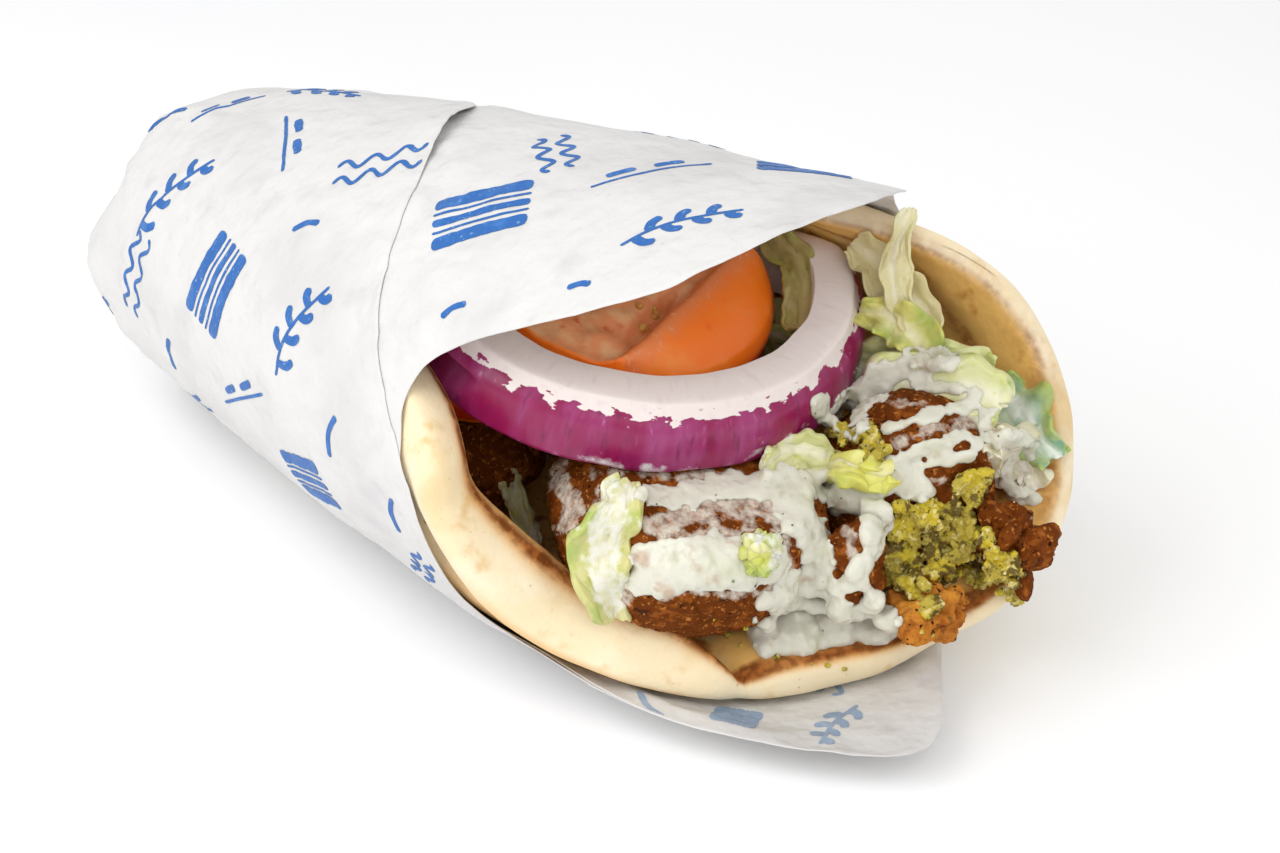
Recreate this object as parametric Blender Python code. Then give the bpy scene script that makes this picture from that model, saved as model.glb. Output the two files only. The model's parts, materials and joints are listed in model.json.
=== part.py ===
"""Falafel pita: a folded pita bread full of falafel, lettuce, tomato and red onion, in its paper wrap.

It lies along X, with its open mouth towards +X and the wrap's closed end towards -X. Sizes are in
millimetres and become metres where a mesh is made. The origin is on the table, below the middle
of the bounding box. A direction round the body is an angle: 0 is +Y, 90 is up, 180 is -Y, 270 is down.
"""

import math

import bmesh
import bpy
from mathutils import Vector, noise

MM = 0.001

# The wrapped body: round sections that grow from the closed end to the mouth.
CLOSED_END_X = -101.0
END_ROUNDING = 15.0  # length over which the closed end rounds off
END_SWAY = 5.0  # the closed end bends away towards +Y, and rises a little
END_RISE = 3.5
MOUTH_X = 74.0  # here the body has its full section
MOUTH_HALF_WIDTH = 51.0
MOUTH_HEIGHT = 85.0
WIDTH_TAPER = 24.5  # half width lost from the mouth to the closed end
HEIGHT_TAPER = 34.0
WIDTH_POWER = 1.5
HEIGHT_POWER = 1.85
MOUTH_LIFT = 4.6  # how far the underside has left the table at the mouth
LIFT_START_X = 24.0
FLAT_DEPTH = 1.3  # how far the round underside is pressed flat on the table
DIRECTIONS = 40  # points round the body

# The paper wrap.
PAPER_THICKNESS = 0.8
PAPER_RINGS = 17
PLEATS = 7  # gathers round the closed end
PLEAT_DEPTH = 1.6
PLEAT_LENGTH = 20.0
FLAP_LEVEL = 6.3  # height of the free flap under the lip
FLAP_TIP_RISE = 1.8
FLAP_START_X = 27.0
# Where the paper ends: (direction, x). It covers the top, falls back at the near side, and ends in
# a free flap, like a tongue, under the mouth's lower lip.
PAPER_EDGE = (
    (33, 44), (60, 53), (86, 63), (102, 63), (118, 56), (132, 41), (145, 24), (160, 18), (185, 22),
    (214, 29), (228, 42), (240, 63), (262, 89), (291, 74), (308, 60), (350, 52),
)

# The pita bread.
PITA_GAP = 1.0  # between the paper and the bread
PITA_THICKNESS = 8.6  # at the lip
PITA_PRESSED = 5.6  # further in, where the fillings press the bread
PITA_RINGS = 13
PITA_END_INSET = 5.5  # how far the bread's closed end stays inside the paper's
LIP_CLEARANCE = 11.0  # fillings further than this beyond the lip are free of the bread
LIP_FLARE = 1.7  # how far the lip leans out at the far side, where no paper holds it
# The slanted lip: (direction, x). The bread is folded like a trough, so its top is open.
PITA_LIP = (
    (159, 18), (185, 27), (216, 38), (240, 52), (254, 63), (286, 77), (314, 83), (348, 75),
    (376, 62), (392, 50), (410, 20), (435, -26), (470, -36), (495, -22),
)

# The lettuce packed behind the falafel.
FILLING_GAP = 0.8  # between the bread and what lies in it
BED_BACK_X = -76.0
BED_FRONT_X = -27.0
BED_RINGS = 8

# The onion ring: a thick slice of one layer of a red onion, tipped towards the mouth.
RING_CENTRE = Vector((17.5, 5.6, 61.6))
RING_NORMAL = Vector((0.29, -0.065, 0.955)).normalized()
RING_RADIUS = 35.0
RING_WALL = 6.8
RING_HEIGHT = 11.6
RING_FLARE = 3.2  # the slice is wider below, nearer the onion's middle
RING_BACK = 130.0  # direction of the squeezed back of the ring, from the mouth towards +Y
RING_SQUEEZE = 11.0  # how far the back is pressed in, and how far it droops
RING_SAG = 6.0
RING_GAP = 0.6  # to what lies under it

# Tomato slices, parallel to the ring: (name, middle of the top face, radius, thickness, start, sweep).
TOMATOES = (
    ("tomato_upper", (17.5, 3.5, 60.5), 23.8, 9.0, -155.0, 215.0),
    ("tomato_lower", (-3.0, -10.0, 50.0), 18.5, 8.0, 0.0, 360.0),
)

# Falafel: (name, centre, radii, depth of the lumps, fineness, tucked under the ring).
FALAFELS = (
    ("falafel_front", (41.5, -7.0, 28.0), (22.5, 21.0, 16.5), 1.6, 3, True),
    ("falafel_rear", (-5.0, -12.0, 26.0), (15.0, 15.0, 13.0), 1.6, 3, True),
    ("falafel_broken", (61.3, 22.8, 30.1), (14.8, 13.5, 15.8), 1.6, 3, False),
    ("falafel_middle", (67.0, 3.5, 26.0), (5.0, 5.0, 8.0), 1.0, 2, False),
    ("falafel_crust_right", (81.0, 26.0, 26.0), (5.0, 5.0, 6.5), 1.0, 2, False),
    ("falafel_chip", (76.0, 12.0, 18.0), (6.0, 6.0, 4.0), 1.0, 2, False),
)
BROKEN_FACE = Vector((8.5, -5.0, 1.0))  # from the broken falafel's centre to its broken side
BREAK_ROUGHNESS = 6.0

# Lettuce: (name, centre, direction of the leaf's length, its width's direction, half sizes, ripples).
LEAVES = (
    ("lettuce_front", (48.2, -31.0, 33.0), (0.1, 0.1, 1.0), (0.4, 1.0, -0.1), (10.5, 5.5, 2.2), 3),
    ("lettuce_centre", (65.5, 5.5, 40.0), (0.7, 0.7, 0.1), (0.7, -0.7, -0.3), (8.5, 5.0, 2.6), 3),
    ("lettuce_right", (75.5, 34.0, 43.5), (0.6, 0.3, -0.8), (0.7, 0.2, 0.7), (9.0, 5.5, 2.6), 5),
    ("lettuce_back", (50.0, 30.5, 56.0), (-0.2, -0.1, 1.0), (1.0, 0.2, 0.2), (10.0, 5.0, 2.2), 3),
)
LEAF_RIPPLE = 1.1
INNER_HEAP = ((18.0, 22.0, 32.0), (20.0, 10.0, 16.0))  # centre and radii of the salad beside the falafel


def principled(name, colour, roughness):
    """A plain material with one colour."""
    material = bpy.data.materials.new(name)
    material.use_nodes = True
    shader = material.node_tree.nodes["Principled BSDF"]
    shader.inputs["Base Color"].default_value = (*colour, 1.0)
    shader.inputs["Roughness"].default_value = roughness
    return material


def add_object(name, mesh, material):
    """Turns the bmesh, in millimetres, into a smooth object in metres."""
    bmesh.ops.scale(mesh, vec=(MM, MM, MM), verts=mesh.verts)
    bmesh.ops.recalc_face_normals(mesh, faces=mesh.faces)
    data = bpy.data.meshes.new(name)
    mesh.to_mesh(data)
    mesh.free()
    data.shade_smooth()
    data.materials.append(material)
    bpy.context.scene.collection.objects.link(bpy.data.objects.new(name, data))


def strip_faces(mesh, loops):
    """Faces between each loop of vertices and the next."""
    for near, far in zip(loops, loops[1:]):
        count = len(near)
        for i in range(count):
            j = (i + 1) % count
            mesh.faces.new((near[i], near[j], far[j], far[i]))


def loft(rings):
    """A closed bmesh through rings of points, its first and last ring closed by a fan."""
    mesh = bmesh.new()
    loops = [[mesh.verts.new(point) for point in ring] for ring in rings]
    strip_faces(mesh, loops)
    caps = [mesh.faces.new(loops[0]), mesh.faces.new(loops[-1])]
    bmesh.ops.poke(mesh, faces=caps)
    return mesh


def smooth_step(value, start, end):
    """0 before start, 1 after end, and a smooth rise between them."""
    t = min(max((value - start) / (end - start), 0.0), 1.0)
    return t * t * (3.0 - 2.0 * t)


def round_curve(points, direction):
    """The value at a direction of a smooth closed curve through (direction, value) points."""
    count = len(points)
    turn = points[0][0] + (direction - points[0][0]) % 360.0
    after = next((i for i, point in enumerate(points) if point[0] > turn), count)

    def point_at(index):
        laps, place = divmod(index, count)
        return points[place][0] + 360.0 * laps, points[place][1]

    before_last, last, following, later = (point_at(after + k) for k in (-2, -1, 0, 1))
    span = following[0] - last[0]
    slope_start = (following[1] - before_last[1]) / (following[0] - before_last[0]) * span
    slope_end = (later[1] - last[1]) / (later[0] - last[0]) * span
    t = (turn - last[0]) / span
    return (
        (2 * t**3 - 3 * t**2 + 1) * last[1]
        + (t**3 - 2 * t**2 + t) * slope_start
        + (3 * t**2 - 2 * t**3) * following[1]
        + (t**3 - t**2) * slope_end
    )


def directions(step=1):
    return [360.0 * i / DIRECTIONS for i in range(0, DIRECTIONS, step)]


def section(x, inset):
    """Half width, half height and middle of the body's section at x, set in by inset."""
    back = max((MOUTH_X - x) / (MOUTH_X - CLOSED_END_X), 0.0)
    half_width = MOUTH_HALF_WIDTH - WIDTH_TAPER * back**WIDTH_POWER
    half_height = (MOUTH_HEIGHT - HEIGHT_TAPER * back**HEIGHT_POWER) / 2.0
    lift = MOUTH_LIFT * max((x - LIFT_START_X) / (MOUTH_X - LIFT_START_X), 0.0) ** 1.5
    past = max((CLOSED_END_X + inset + END_ROUNDING - x) / END_ROUNDING, 0.0)
    rounding = max(1.0 - past**2.5, 0.0) ** 0.4
    middle = Vector((x, END_SWAY * back**2, half_height + lift + END_RISE * back**2 - FLAT_DEPTH))
    return (half_width - inset) * rounding, (half_height - inset) * rounding, middle


def body_point(x, direction, inset):
    """A point on the body's surface, gathered in pleats at the closed end, or on one set in by inset."""
    pleat = PLEAT_DEPTH * (0.5 + 0.5 * math.cos(math.radians(PLEATS * direction)))
    pleat *= 1.0 - smooth_step(x, CLOSED_END_X + 2.0, CLOSED_END_X + PLEAT_LENGTH)
    half_width, half_height, middle = section(x, inset + pleat)
    angle = math.radians(direction)
    point = middle + Vector((0.0, half_width * math.cos(angle), half_height * math.sin(angle)))
    point.z = max(point.z, inset)
    return point


def shell(edge, outer_inset, thickness, closed_x, ring_count, edge_turns, point_at):
    """A shell closed at one end: rings run up its outside, round its edge and down its inside."""
    steps = [((k + 0.2) / ring_count) ** 1.4 for k in range(ring_count)]
    rings = []

    def add_ring(share, inset, start_x, beyond):
        ring = []
        for direction in directions():
            end_x = edge(direction) - thickness / 2.0
            ring.append(point_at(start_x + (end_x - start_x) * share + beyond, direction, inset))
        rings.append(ring)

    for share in steps:
        add_ring(share, outer_inset, closed_x, 0.0)
    for turn in edge_turns:
        depth = thickness * (1.0 - math.cos(math.radians(turn))) / 2.0
        add_ring(1.0, outer_inset + depth, closed_x, thickness / 2.0 * math.sin(math.radians(turn)))
    for share in reversed(steps):
        add_ring(share, outer_inset + thickness, closed_x + thickness, 0.0)
    return loft(rings)


def paper_point(x, direction, inset):
    """A point of the paper: on the body, but hanging free as a flat flap under the lip."""
    point = body_point(x, direction, inset)
    free = smooth_step(x, FLAP_START_X, FLAP_START_X + 26.0)
    free *= smooth_step(direction, 196.0, 222.0) * (1.0 - smooth_step(direction, 318.0, 344.0))
    level = FLAP_LEVEL + FLAP_TIP_RISE * smooth_step(x, 74.0, 90.0) + inset
    point.z -= free * max(point.z - level, 0.0)
    return point


def make_paper(material):
    mesh = shell(
        lambda direction: round_curve(PAPER_EDGE, direction),
        0.0, PAPER_THICKNESS, CLOSED_END_X, PAPER_RINGS, (0.0, 180.0), paper_point,
    )
    add_object("paper_wrap", mesh, material)


def bread_thickness(x, direction):
    """The bread is thick at its lip, and pressed thinner further in."""
    lip_x = round_curve(PITA_LIP, direction)
    return PITA_PRESSED + (PITA_THICKNESS - PITA_PRESSED) * smooth_step(x, lip_x - 18.0, lip_x - 2.0)


def pita_point(x, direction, inset):
    """A point of the bread, its far lip leaning out over the paper's edge."""
    lip_x = round_curve(PITA_LIP, direction)
    outside = PAPER_THICKNESS + PITA_GAP
    depth = (inset - outside) / PITA_THICKNESS
    far_side = smooth_step(math.cos(math.radians(direction + 12.0)), 0.5, 0.9)
    flare = LIP_FLARE * far_side * smooth_step(x, lip_x - 9.0, lip_x)
    return body_point(x, direction, outside + depth * bread_thickness(x, direction) - flare)


def make_pita(material):
    mesh = shell(
        lambda direction: round_curve(PITA_LIP, direction),
        PAPER_THICKNESS + PITA_GAP, PITA_THICKNESS, CLOSED_END_X + PITA_END_INSET, PITA_RINGS,
        (0.0, 60.0, 120.0, 180.0), pita_point,
    )
    add_object("pita", mesh, material)


def inside_pita(point):
    """The point, drawn in towards the body's middle where it would press into the bread."""
    half_width, half_height, middle = section(point.x, 0.0)
    up, across = (point.z - middle.z) / half_height, (point.y - middle.y) / half_width
    direction = math.degrees(math.atan2(up, across))
    if point.x > round_curve(PITA_LIP, direction) + LIP_CLEARANCE:
        return point
    inset = PAPER_THICKNESS + PITA_GAP + FILLING_GAP + bread_thickness(point.x, direction)
    half_width, half_height, middle = section(point.x, inset)
    reach = math.hypot((point.y - middle.y) / half_width, (point.z - middle.z) / half_height)
    if reach <= 1.0:
        return point
    return Vector((point.x, *(middle.yz + (point.yz - middle.yz) / reach)))


def under_ring(point):
    """The point, pushed down where it would reach above the onion ring's underside."""
    above = (point - RING_CENTRE).dot(RING_NORMAL) + RING_HEIGHT + RING_GAP
    return point - RING_NORMAL * max(above, 0.0)


def make_lettuce_bed(material):
    """The packed lettuce inside the closed half, up to the falafel, with a wavy, rounded front."""
    inset = PAPER_THICKNESS + PITA_GAP + PITA_THICKNESS + FILLING_GAP
    rings = []
    for k in range(BED_RINGS):
        share = k / (BED_RINGS - 1)
        x = BED_BACK_X + (BED_FRONT_X - BED_BACK_X) * share
        ring = []
        for direction in directions(step=2):
            wave = (1.0 + math.sin(math.radians(3.0 * direction) + 5.0 * share)) * 1.6 * share
            ring.append(body_point(x, direction, inset + wave + 5.0 * smooth_step(share, 0.8, 1.0)))
        rings.append(ring)
    add_object("lettuce_bed", loft(rings), material)


def slice_axes():
    """Two axes across the ring and the tomato slices: towards the mouth, and towards +Y."""
    forward = Vector((0.0, 1.0, 0.0)).cross(RING_NORMAL).normalized()
    return forward, RING_NORMAL.cross(forward)


def ring_point(angle, radius, height):
    """A point of the onion ring: an angle round it, a distance from its axis, a height on its axis."""
    forward, side = slice_axes()
    back = smooth_step(math.cos(angle - math.radians(RING_BACK)), 0.25, 1.0)
    radius -= RING_SQUEEZE * back
    point = RING_CENTRE + (forward * math.cos(angle) + side * math.sin(angle)) * radius
    point += RING_NORMAL * height - Vector((0.0, 0.0, RING_SAG * back))
    return inside_pita(point)


def make_onion_ring(material):
    """The outline runs round the wall: the cut top, the inner skin, the cut underside, the outer skin."""
    outline = (
        (0.0, 0.0), (-RING_WALL, 0.0), (-RING_WALL, -RING_HEIGHT / 2), (-RING_WALL, -RING_HEIGHT),
        (RING_FLARE - 0.8, -RING_HEIGHT), (RING_FLARE, -RING_HEIGHT * 0.75),
        (RING_FLARE * 0.75, -RING_HEIGHT * 0.35),
    )
    count = 36
    mesh = bmesh.new()
    loops = []
    for i in range(count):
        angle = 2.0 * math.pi * i / count
        radius = RING_RADIUS + 0.5 * math.sin(2.0 * angle + 0.6) + 0.3 * math.sin(3.0 * angle)
        loops.append([mesh.verts.new(ring_point(angle, radius + out, up)) for out, up in outline])
    strip_faces(mesh, loops + [loops[0]])
    add_object("onion_ring", mesh, material)


def make_tomato(name, centre, radius, thickness, start, sweep, material):
    """A round slice, or the part of one from start over sweep degrees, its skin bulging a little."""
    forward, side = slice_axes()
    count = 26
    gaps = count if sweep >= 360.0 else count - 1
    rings = []
    for bulge, depth in ((0.0, 0.0), (0.9, 0.33), (1.0, 0.66), (0.3, 1.0)):
        ring = []
        for i in range(count):
            angle = math.radians(start + sweep * i / gaps)
            out = (forward * math.cos(angle) + side * math.sin(angle)) * (radius + bulge)
            point = Vector(centre) + out - RING_NORMAL * thickness * depth
            ring.append(inside_pita(point))
        rings.append(ring)
    add_object(name, loft(rings), material)


def lumpy(direction, radii, lumps, seed):
    """A point of an uneven ball of three radii, in a direction from its centre."""
    lump = lumps * noise.noise(direction * 1.6 + Vector((3.7, 1.3, 2.1)) * seed)
    return Vector([direction[k] * (radii[k] + lump) for k in range(3)])


def break_off(point, face, seed):
    """The point, set back to the rough broken side where it lies beyond that."""
    beyond = max(point.dot(face.normalized()) - face.length, 0.0)
    rough = BREAK_ROUGHNESS / 15.0 * noise.noise(point * 0.16 + Vector((3.7, 1.3, 2.1)) * seed)
    return point - face.normalized() * beyond * (1.0 + rough)


def make_ball(name, centre, radii, lumps, fineness, tucked, material, seed):
    """A fried ball or a torn piece, pressed in where it meets the bread or the onion ring."""
    mesh = bmesh.new()
    bmesh.ops.create_icosphere(mesh, subdivisions=fineness, radius=1.0)
    for vertex in mesh.verts:
        point = lumpy(vertex.co.normalized(), radii, lumps, seed)
        if name == "falafel_broken":
            point = break_off(point, BROKEN_FACE, seed)
        point = inside_pita(point + Vector(centre))
        vertex.co = under_ring(point) if tucked else point
    add_object(name, mesh, material)


def make_leaf(name, centre, length_way, width_way, half_sizes, ripples, material):
    """A torn piece of leaf: a thin rounded plate whose rim ripples."""
    mesh = bmesh.new()
    bmesh.ops.create_icosphere(mesh, subdivisions=3, radius=1.0)
    axis = Vector(length_way).normalized()
    normal = axis.cross(Vector(width_way)).normalized()
    across = normal.cross(axis)
    for vertex in mesh.verts:
        along, wide, thick = vertex.co
        angle = math.atan2(wide, along)
        ripple = LEAF_RIPPLE * math.sin(ripples * angle) * (along**2 + wide**2)
        point = axis * along * half_sizes[0] + across * wide * half_sizes[1]
        vertex.co = Vector(centre) + point + normal * (thick * half_sizes[2] + ripple)
    add_object(name, mesh, material)


def stand_on_origin():
    """Moves the meshes so that the origin is below the middle of the whole, at table height."""
    meshes = [item.data for item in bpy.context.scene.objects]
    points = [vertex.co for mesh in meshes for vertex in mesh.vertices]
    low = Vector([min(point[k] for point in points) for k in range(3)])
    high = Vector([max(point[k] for point in points) for k in range(3)])
    middle = Vector(((low.x + high.x) / 2.0, (low.y + high.y) / 2.0, low.z))
    for mesh in meshes:
        for vertex in mesh.vertices:
            vertex.co -= middle


def main():
    for old_object in list(bpy.data.objects):
        bpy.data.objects.remove(old_object)
    make_paper(principled("paper", (0.85, 0.85, 0.87), 0.6))
    make_pita(principled("pita_bread", (0.80, 0.62, 0.38), 0.8))
    lettuce = principled("lettuce", (0.60, 0.68, 0.28), 0.45)
    make_lettuce_bed(lettuce)
    make_ball("lettuce_inner", *INNER_HEAP, 1.5, 2, True, lettuce, 10)
    for leaf in LEAVES:
        make_leaf(*leaf, lettuce)
    make_onion_ring(principled("red_onion", (0.35, 0.06, 0.20), 0.35))
    tomato = principled("tomato", (0.75, 0.14, 0.04), 0.3)
    for tomato_slice in TOMATOES:
        make_tomato(*tomato_slice, tomato)
    crust = principled("falafel_crust", (0.22, 0.09, 0.03), 0.85)
    for seed, falafel in enumerate(FALAFELS, start=1):
        make_ball(*falafel, crust, seed)
    stand_on_origin()


main()
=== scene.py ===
"""Falafel pita in its paper wrap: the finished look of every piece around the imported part.

Sizes are in the body's own millimetres: x runs towards the open mouth, y to the far side and z up
from the table. A direction round the body is an angle: 0 is +Y, 90 is up, 180 is -Y, 270 is down.
to_frame turns a point into the frame's metres.
"""

import functools
import json
import math
import random

import bpy
import numpy as np
from bpy.props import FloatProperty, FloatVectorProperty, PointerProperty
from mathutils import Matrix, Vector, noise
from mathutils.bvhtree import BVHTree

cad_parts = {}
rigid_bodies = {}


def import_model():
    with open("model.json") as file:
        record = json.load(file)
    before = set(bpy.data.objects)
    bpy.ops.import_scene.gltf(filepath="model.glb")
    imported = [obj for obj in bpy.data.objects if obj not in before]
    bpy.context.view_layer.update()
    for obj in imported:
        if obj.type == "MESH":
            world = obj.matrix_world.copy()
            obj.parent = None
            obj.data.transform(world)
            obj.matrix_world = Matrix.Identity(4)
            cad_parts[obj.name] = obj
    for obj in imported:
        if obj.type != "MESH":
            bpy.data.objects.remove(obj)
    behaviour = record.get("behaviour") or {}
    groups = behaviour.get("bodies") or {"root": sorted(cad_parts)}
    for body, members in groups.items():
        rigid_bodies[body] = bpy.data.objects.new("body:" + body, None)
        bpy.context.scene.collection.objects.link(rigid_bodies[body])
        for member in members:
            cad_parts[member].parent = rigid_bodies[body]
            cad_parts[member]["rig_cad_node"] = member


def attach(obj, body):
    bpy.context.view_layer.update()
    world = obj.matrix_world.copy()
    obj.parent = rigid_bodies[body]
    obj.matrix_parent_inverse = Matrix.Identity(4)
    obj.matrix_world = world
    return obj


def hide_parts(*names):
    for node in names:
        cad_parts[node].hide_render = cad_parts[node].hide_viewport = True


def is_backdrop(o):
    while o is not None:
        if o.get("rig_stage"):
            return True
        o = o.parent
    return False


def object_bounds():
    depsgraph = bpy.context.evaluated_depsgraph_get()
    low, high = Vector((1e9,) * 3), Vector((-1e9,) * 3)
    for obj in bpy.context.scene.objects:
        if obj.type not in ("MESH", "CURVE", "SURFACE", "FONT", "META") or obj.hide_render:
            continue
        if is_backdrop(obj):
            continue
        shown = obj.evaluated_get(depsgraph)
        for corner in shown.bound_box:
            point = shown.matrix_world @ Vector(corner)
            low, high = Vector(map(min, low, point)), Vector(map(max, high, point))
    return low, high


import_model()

bl_info = {
    "name": "Falafel Pita",
    "version": (1, 0, 0),
    "blender": (4, 5, 0),
    "location": "View3D > Sidebar > Falafel Pita",
    "description": "Makes a falafel pita in its paper wrap around the packed part",
    "category": "Object",
}

MM = 0.001
CAD_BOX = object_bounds()
BODY_TO_FRAME = Vector((6.2, -1.7, 0.0))  # the frame's origin lies below the middle of the box

# The wrapped body: round sections that grow from the closed end to the mouth.
CLOSED_END_X = -101.0
END_ROUNDING = 15.0
END_SWAY = 5.0
END_RISE = 3.5
MOUTH_X = 74.0
MOUTH_HALF_WIDTH = 51.0
MOUTH_HEIGHT = 85.0
WIDTH_TAPER = 24.5
HEIGHT_TAPER = 34.0
WIDTH_POWER = 1.5
HEIGHT_POWER = 1.85
MOUTH_LIFT = 4.6
LIFT_START_X = 24.0
FLAT_DEPTH = 1.3

# The paper: where its inner layer ends, and where the outer layer's seam runs, as (direction, x).
PAPER_GAP = 0.8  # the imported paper's thickness, which holds both layers and their wrinkles
PAPER_INSET = 0.35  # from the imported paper's outside in to the paper itself
LAYER_GAP = 0.22
INK_LIFT = 0.07  # how far the prints stand off the paper
PAPER_HUG = 0.5  # how far the free edge is drawn in against the bread
EAR_HEIGHT = 2.4
FOLD_SIZE = 26.0
CREASE_SIZE = 9.0
PAPER_EDGE = (
    (20, 42), (45, 46), (64, 59), (80, 64), (93, 63), (100, 61), (107, 59), (114, 56), (120, 53),
    (129, 42.5), (137, 31.6), (145, 22), (153, 16.5), (163, 15.5), (185, 19), (214, 24), (228, 37),
    (240, 62), (262, 89), (291, 74), (308, 60), (345, 50),
)
SEAM = (
    (25, -84), (45, -58), (68, -32), (96, -18), (117, -8.5), (129, -4), (147, 3.5), (160, 10),
    (175, 18), (195, 23), (214, 27), (228, 39), (240, 58), (262, 84), (291, 69), (308, 54),
    (330, 20), (350, -50),
)
WRINKLE_ROOM = 0.55  # how far a crease may go in before it would meet the bread
PLEATS = 7
PLEAT_DEPTH = 1.6
PLEAT_LENGTH = 20.0
FLAP_LEVEL = 6.3
FLAP_TIP_RISE = 1.8
FLAP_START_X = 27.0

# The bread.
PITA_GAP = 1.0
PITA_THICKNESS = 8.6
PITA_PRESSED = 5.6
PITA_END_INSET = 5.5
LIP_CLEARANCE = 11.0
LIP_FLARE = 1.7
LIP_SWELL = 4.4  # how much thicker than elsewhere the lip is at the near left
PITA_LIP = (
    (159, 18), (185, 27), (216, 38), (240, 52), (254, 61.5), (286, 73.5), (314, 80), (348, 74),
    (376, 62), (392, 50), (410, 20), (435, -26), (470, -36), (495, -22),
)
BREAD_FOLD = 254.0  # direction of the crease along the bottom of the folded bread
FOLD_DEPTH = 4.2
LOBE_GROOVE = 2.6  # how deep the groove is that sets the near left lobe off from the lip
LIP_SHARE = 0.988  # the share of the bread's length from which the lip is browned
NEAREST_LIP = 228.0

# The fillings.
FILLING_GAP = 0.8
RING_CENTRE = Vector((17.5, 5.6, 61.6))
RING_NORMAL = Vector((0.29, -0.065, 0.955)).normalized()
RING_RADIUS = 35.0
RING_WALL = 6.8
RING_HEIGHT = 11.6
RING_FLARE = 3.2
RING_BACK = 130.0
RING_SQUEEZE = 11.0
RING_SAG = 6.0
RING_GAP = 0.6

# The view, which is also the side from which the sauce and the crumbs are dropped on.
VIEW_TARGET = Vector((22.0, 2.0, 33.0))
VIEW_AZIMUTH = math.radians(45.0)
VIEW_ELEVATION = math.radians(30.0)
VIEW_DISTANCE = 490.0
TOWARDS_VIEW = Vector((
    math.sin(VIEW_AZIMUTH) * math.cos(VIEW_ELEVATION),
    -math.cos(VIEW_AZIMUTH) * math.cos(VIEW_ELEVATION),
    math.sin(VIEW_ELEVATION),
))
VIEW_RIGHT = Vector((math.cos(VIEW_AZIMUTH), math.sin(VIEW_AZIMUTH), 0.0))
VIEW_UP = TOWARDS_VIEW.cross(VIEW_RIGHT)

# Strokes on the view.
STROKE_STEPS = 24
FILM_FADE = 1.6  # how far a film thins out at its edge


def linear(code):
    """Linear red, green and blue of an sRGB hex code."""
    shares = [int(code[i : i + 2], 16) / 255.0 for i in (1, 3, 5)]
    return tuple(s / 12.92 if s <= 0.04045 else ((s + 0.055) / 1.055) ** 2.4 for s in shares)


def colour_property(name, description, code):
    return FloatVectorProperty(
        name=name, description=description, subtype="COLOR", min=0.0, max=1.0, default=linear(code)
    )


def size_property(name, description, millimetres):
    return FloatProperty(
        name=name, description=description, default=millimetres * MM, min=0.0, precision=5,
        subtype="DISTANCE", unit="LENGTH",
    )


# ---------------------------------------------------------------- the body's form


def to_frame(point):
    """A point in the body's millimetres as one in the frame's metres."""
    return (point + BODY_TO_FRAME) * MM


def smooth_step(value, start, end):
    """0 before start, 1 after end, and a smooth rise between them."""
    t = min(max((value - start) / (end - start), 0.0), 1.0)
    return t * t * (3.0 - 2.0 * t)


def near(value, middle, width):
    """1 at the middle, falling off like a bell over the width."""
    return math.exp(-(((value - middle) / width) ** 2))


@functools.lru_cache(maxsize=None)
def round_curve(points, direction):
    """The value at a direction of a smooth closed curve through (direction, value) points."""
    count = len(points)
    turn = points[0][0] + (direction - points[0][0]) % 360.0
    after = next((i for i, point in enumerate(points) if point[0] > turn), count)

    def point_at(index):
        laps, place = divmod(index, count)
        return points[place][0] + 360.0 * laps, points[place][1]

    before_last, last, following, later = (point_at(after + k) for k in (-2, -1, 0, 1))
    span = following[0] - last[0]
    slope_start = (following[1] - before_last[1]) / (following[0] - before_last[0]) * span
    slope_end = (later[1] - last[1]) / (later[0] - last[0]) * span
    t = (turn - last[0]) / span
    return (
        (2 * t**3 - 3 * t**2 + 1) * last[1]
        + (t**3 - 2 * t**2 + t) * slope_start
        + (3 * t**2 - 2 * t**3) * following[1]
        + (t**3 - t**2) * slope_end
    )


def section(x, inset):
    """Half width, half height and middle of the body's section at x, set in by inset."""
    back = max((MOUTH_X - x) / (MOUTH_X - CLOSED_END_X), 0.0)
    half_width = MOUTH_HALF_WIDTH - WIDTH_TAPER * back**WIDTH_POWER
    half_height = (MOUTH_HEIGHT - HEIGHT_TAPER * back**HEIGHT_POWER) / 2.0
    lift = MOUTH_LIFT * max((x - LIFT_START_X) / (MOUTH_X - LIFT_START_X), 0.0) ** 1.5
    past = max((CLOSED_END_X + inset + END_ROUNDING - x) / END_ROUNDING, 0.0)
    rounding = max(1.0 - past**2.5, 0.0) ** 0.4
    middle = Vector((x, END_SWAY * back**2, half_height + lift + END_RISE * back**2 - FLAT_DEPTH))
    return (half_width - inset) * rounding, (half_height - inset) * rounding, middle


def body_point(x, direction, inset):
    """A point on the body's surface, gathered in pleats at the closed end, or on one set in by inset."""
    pleat = PLEAT_DEPTH * (0.5 + 0.5 * math.cos(math.radians(PLEATS * direction)))
    pleat *= 1.0 - smooth_step(x, CLOSED_END_X + 2.0, CLOSED_END_X + PLEAT_LENGTH)
    half_width, half_height, middle = section(x, inset + pleat)
    angle = math.radians(direction)
    point = middle + Vector((0.0, half_width * math.cos(angle), half_height * math.sin(angle)))
    point.z = max(point.z, inset)
    return point


def near_left(direction):
    """1 at the near left of the lip, which is the bread's thickest part, and 0 away from it."""
    return smooth_step(direction, 172.0, 205.0) * (1.0 - smooth_step(direction, 236.0, 256.0))


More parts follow.
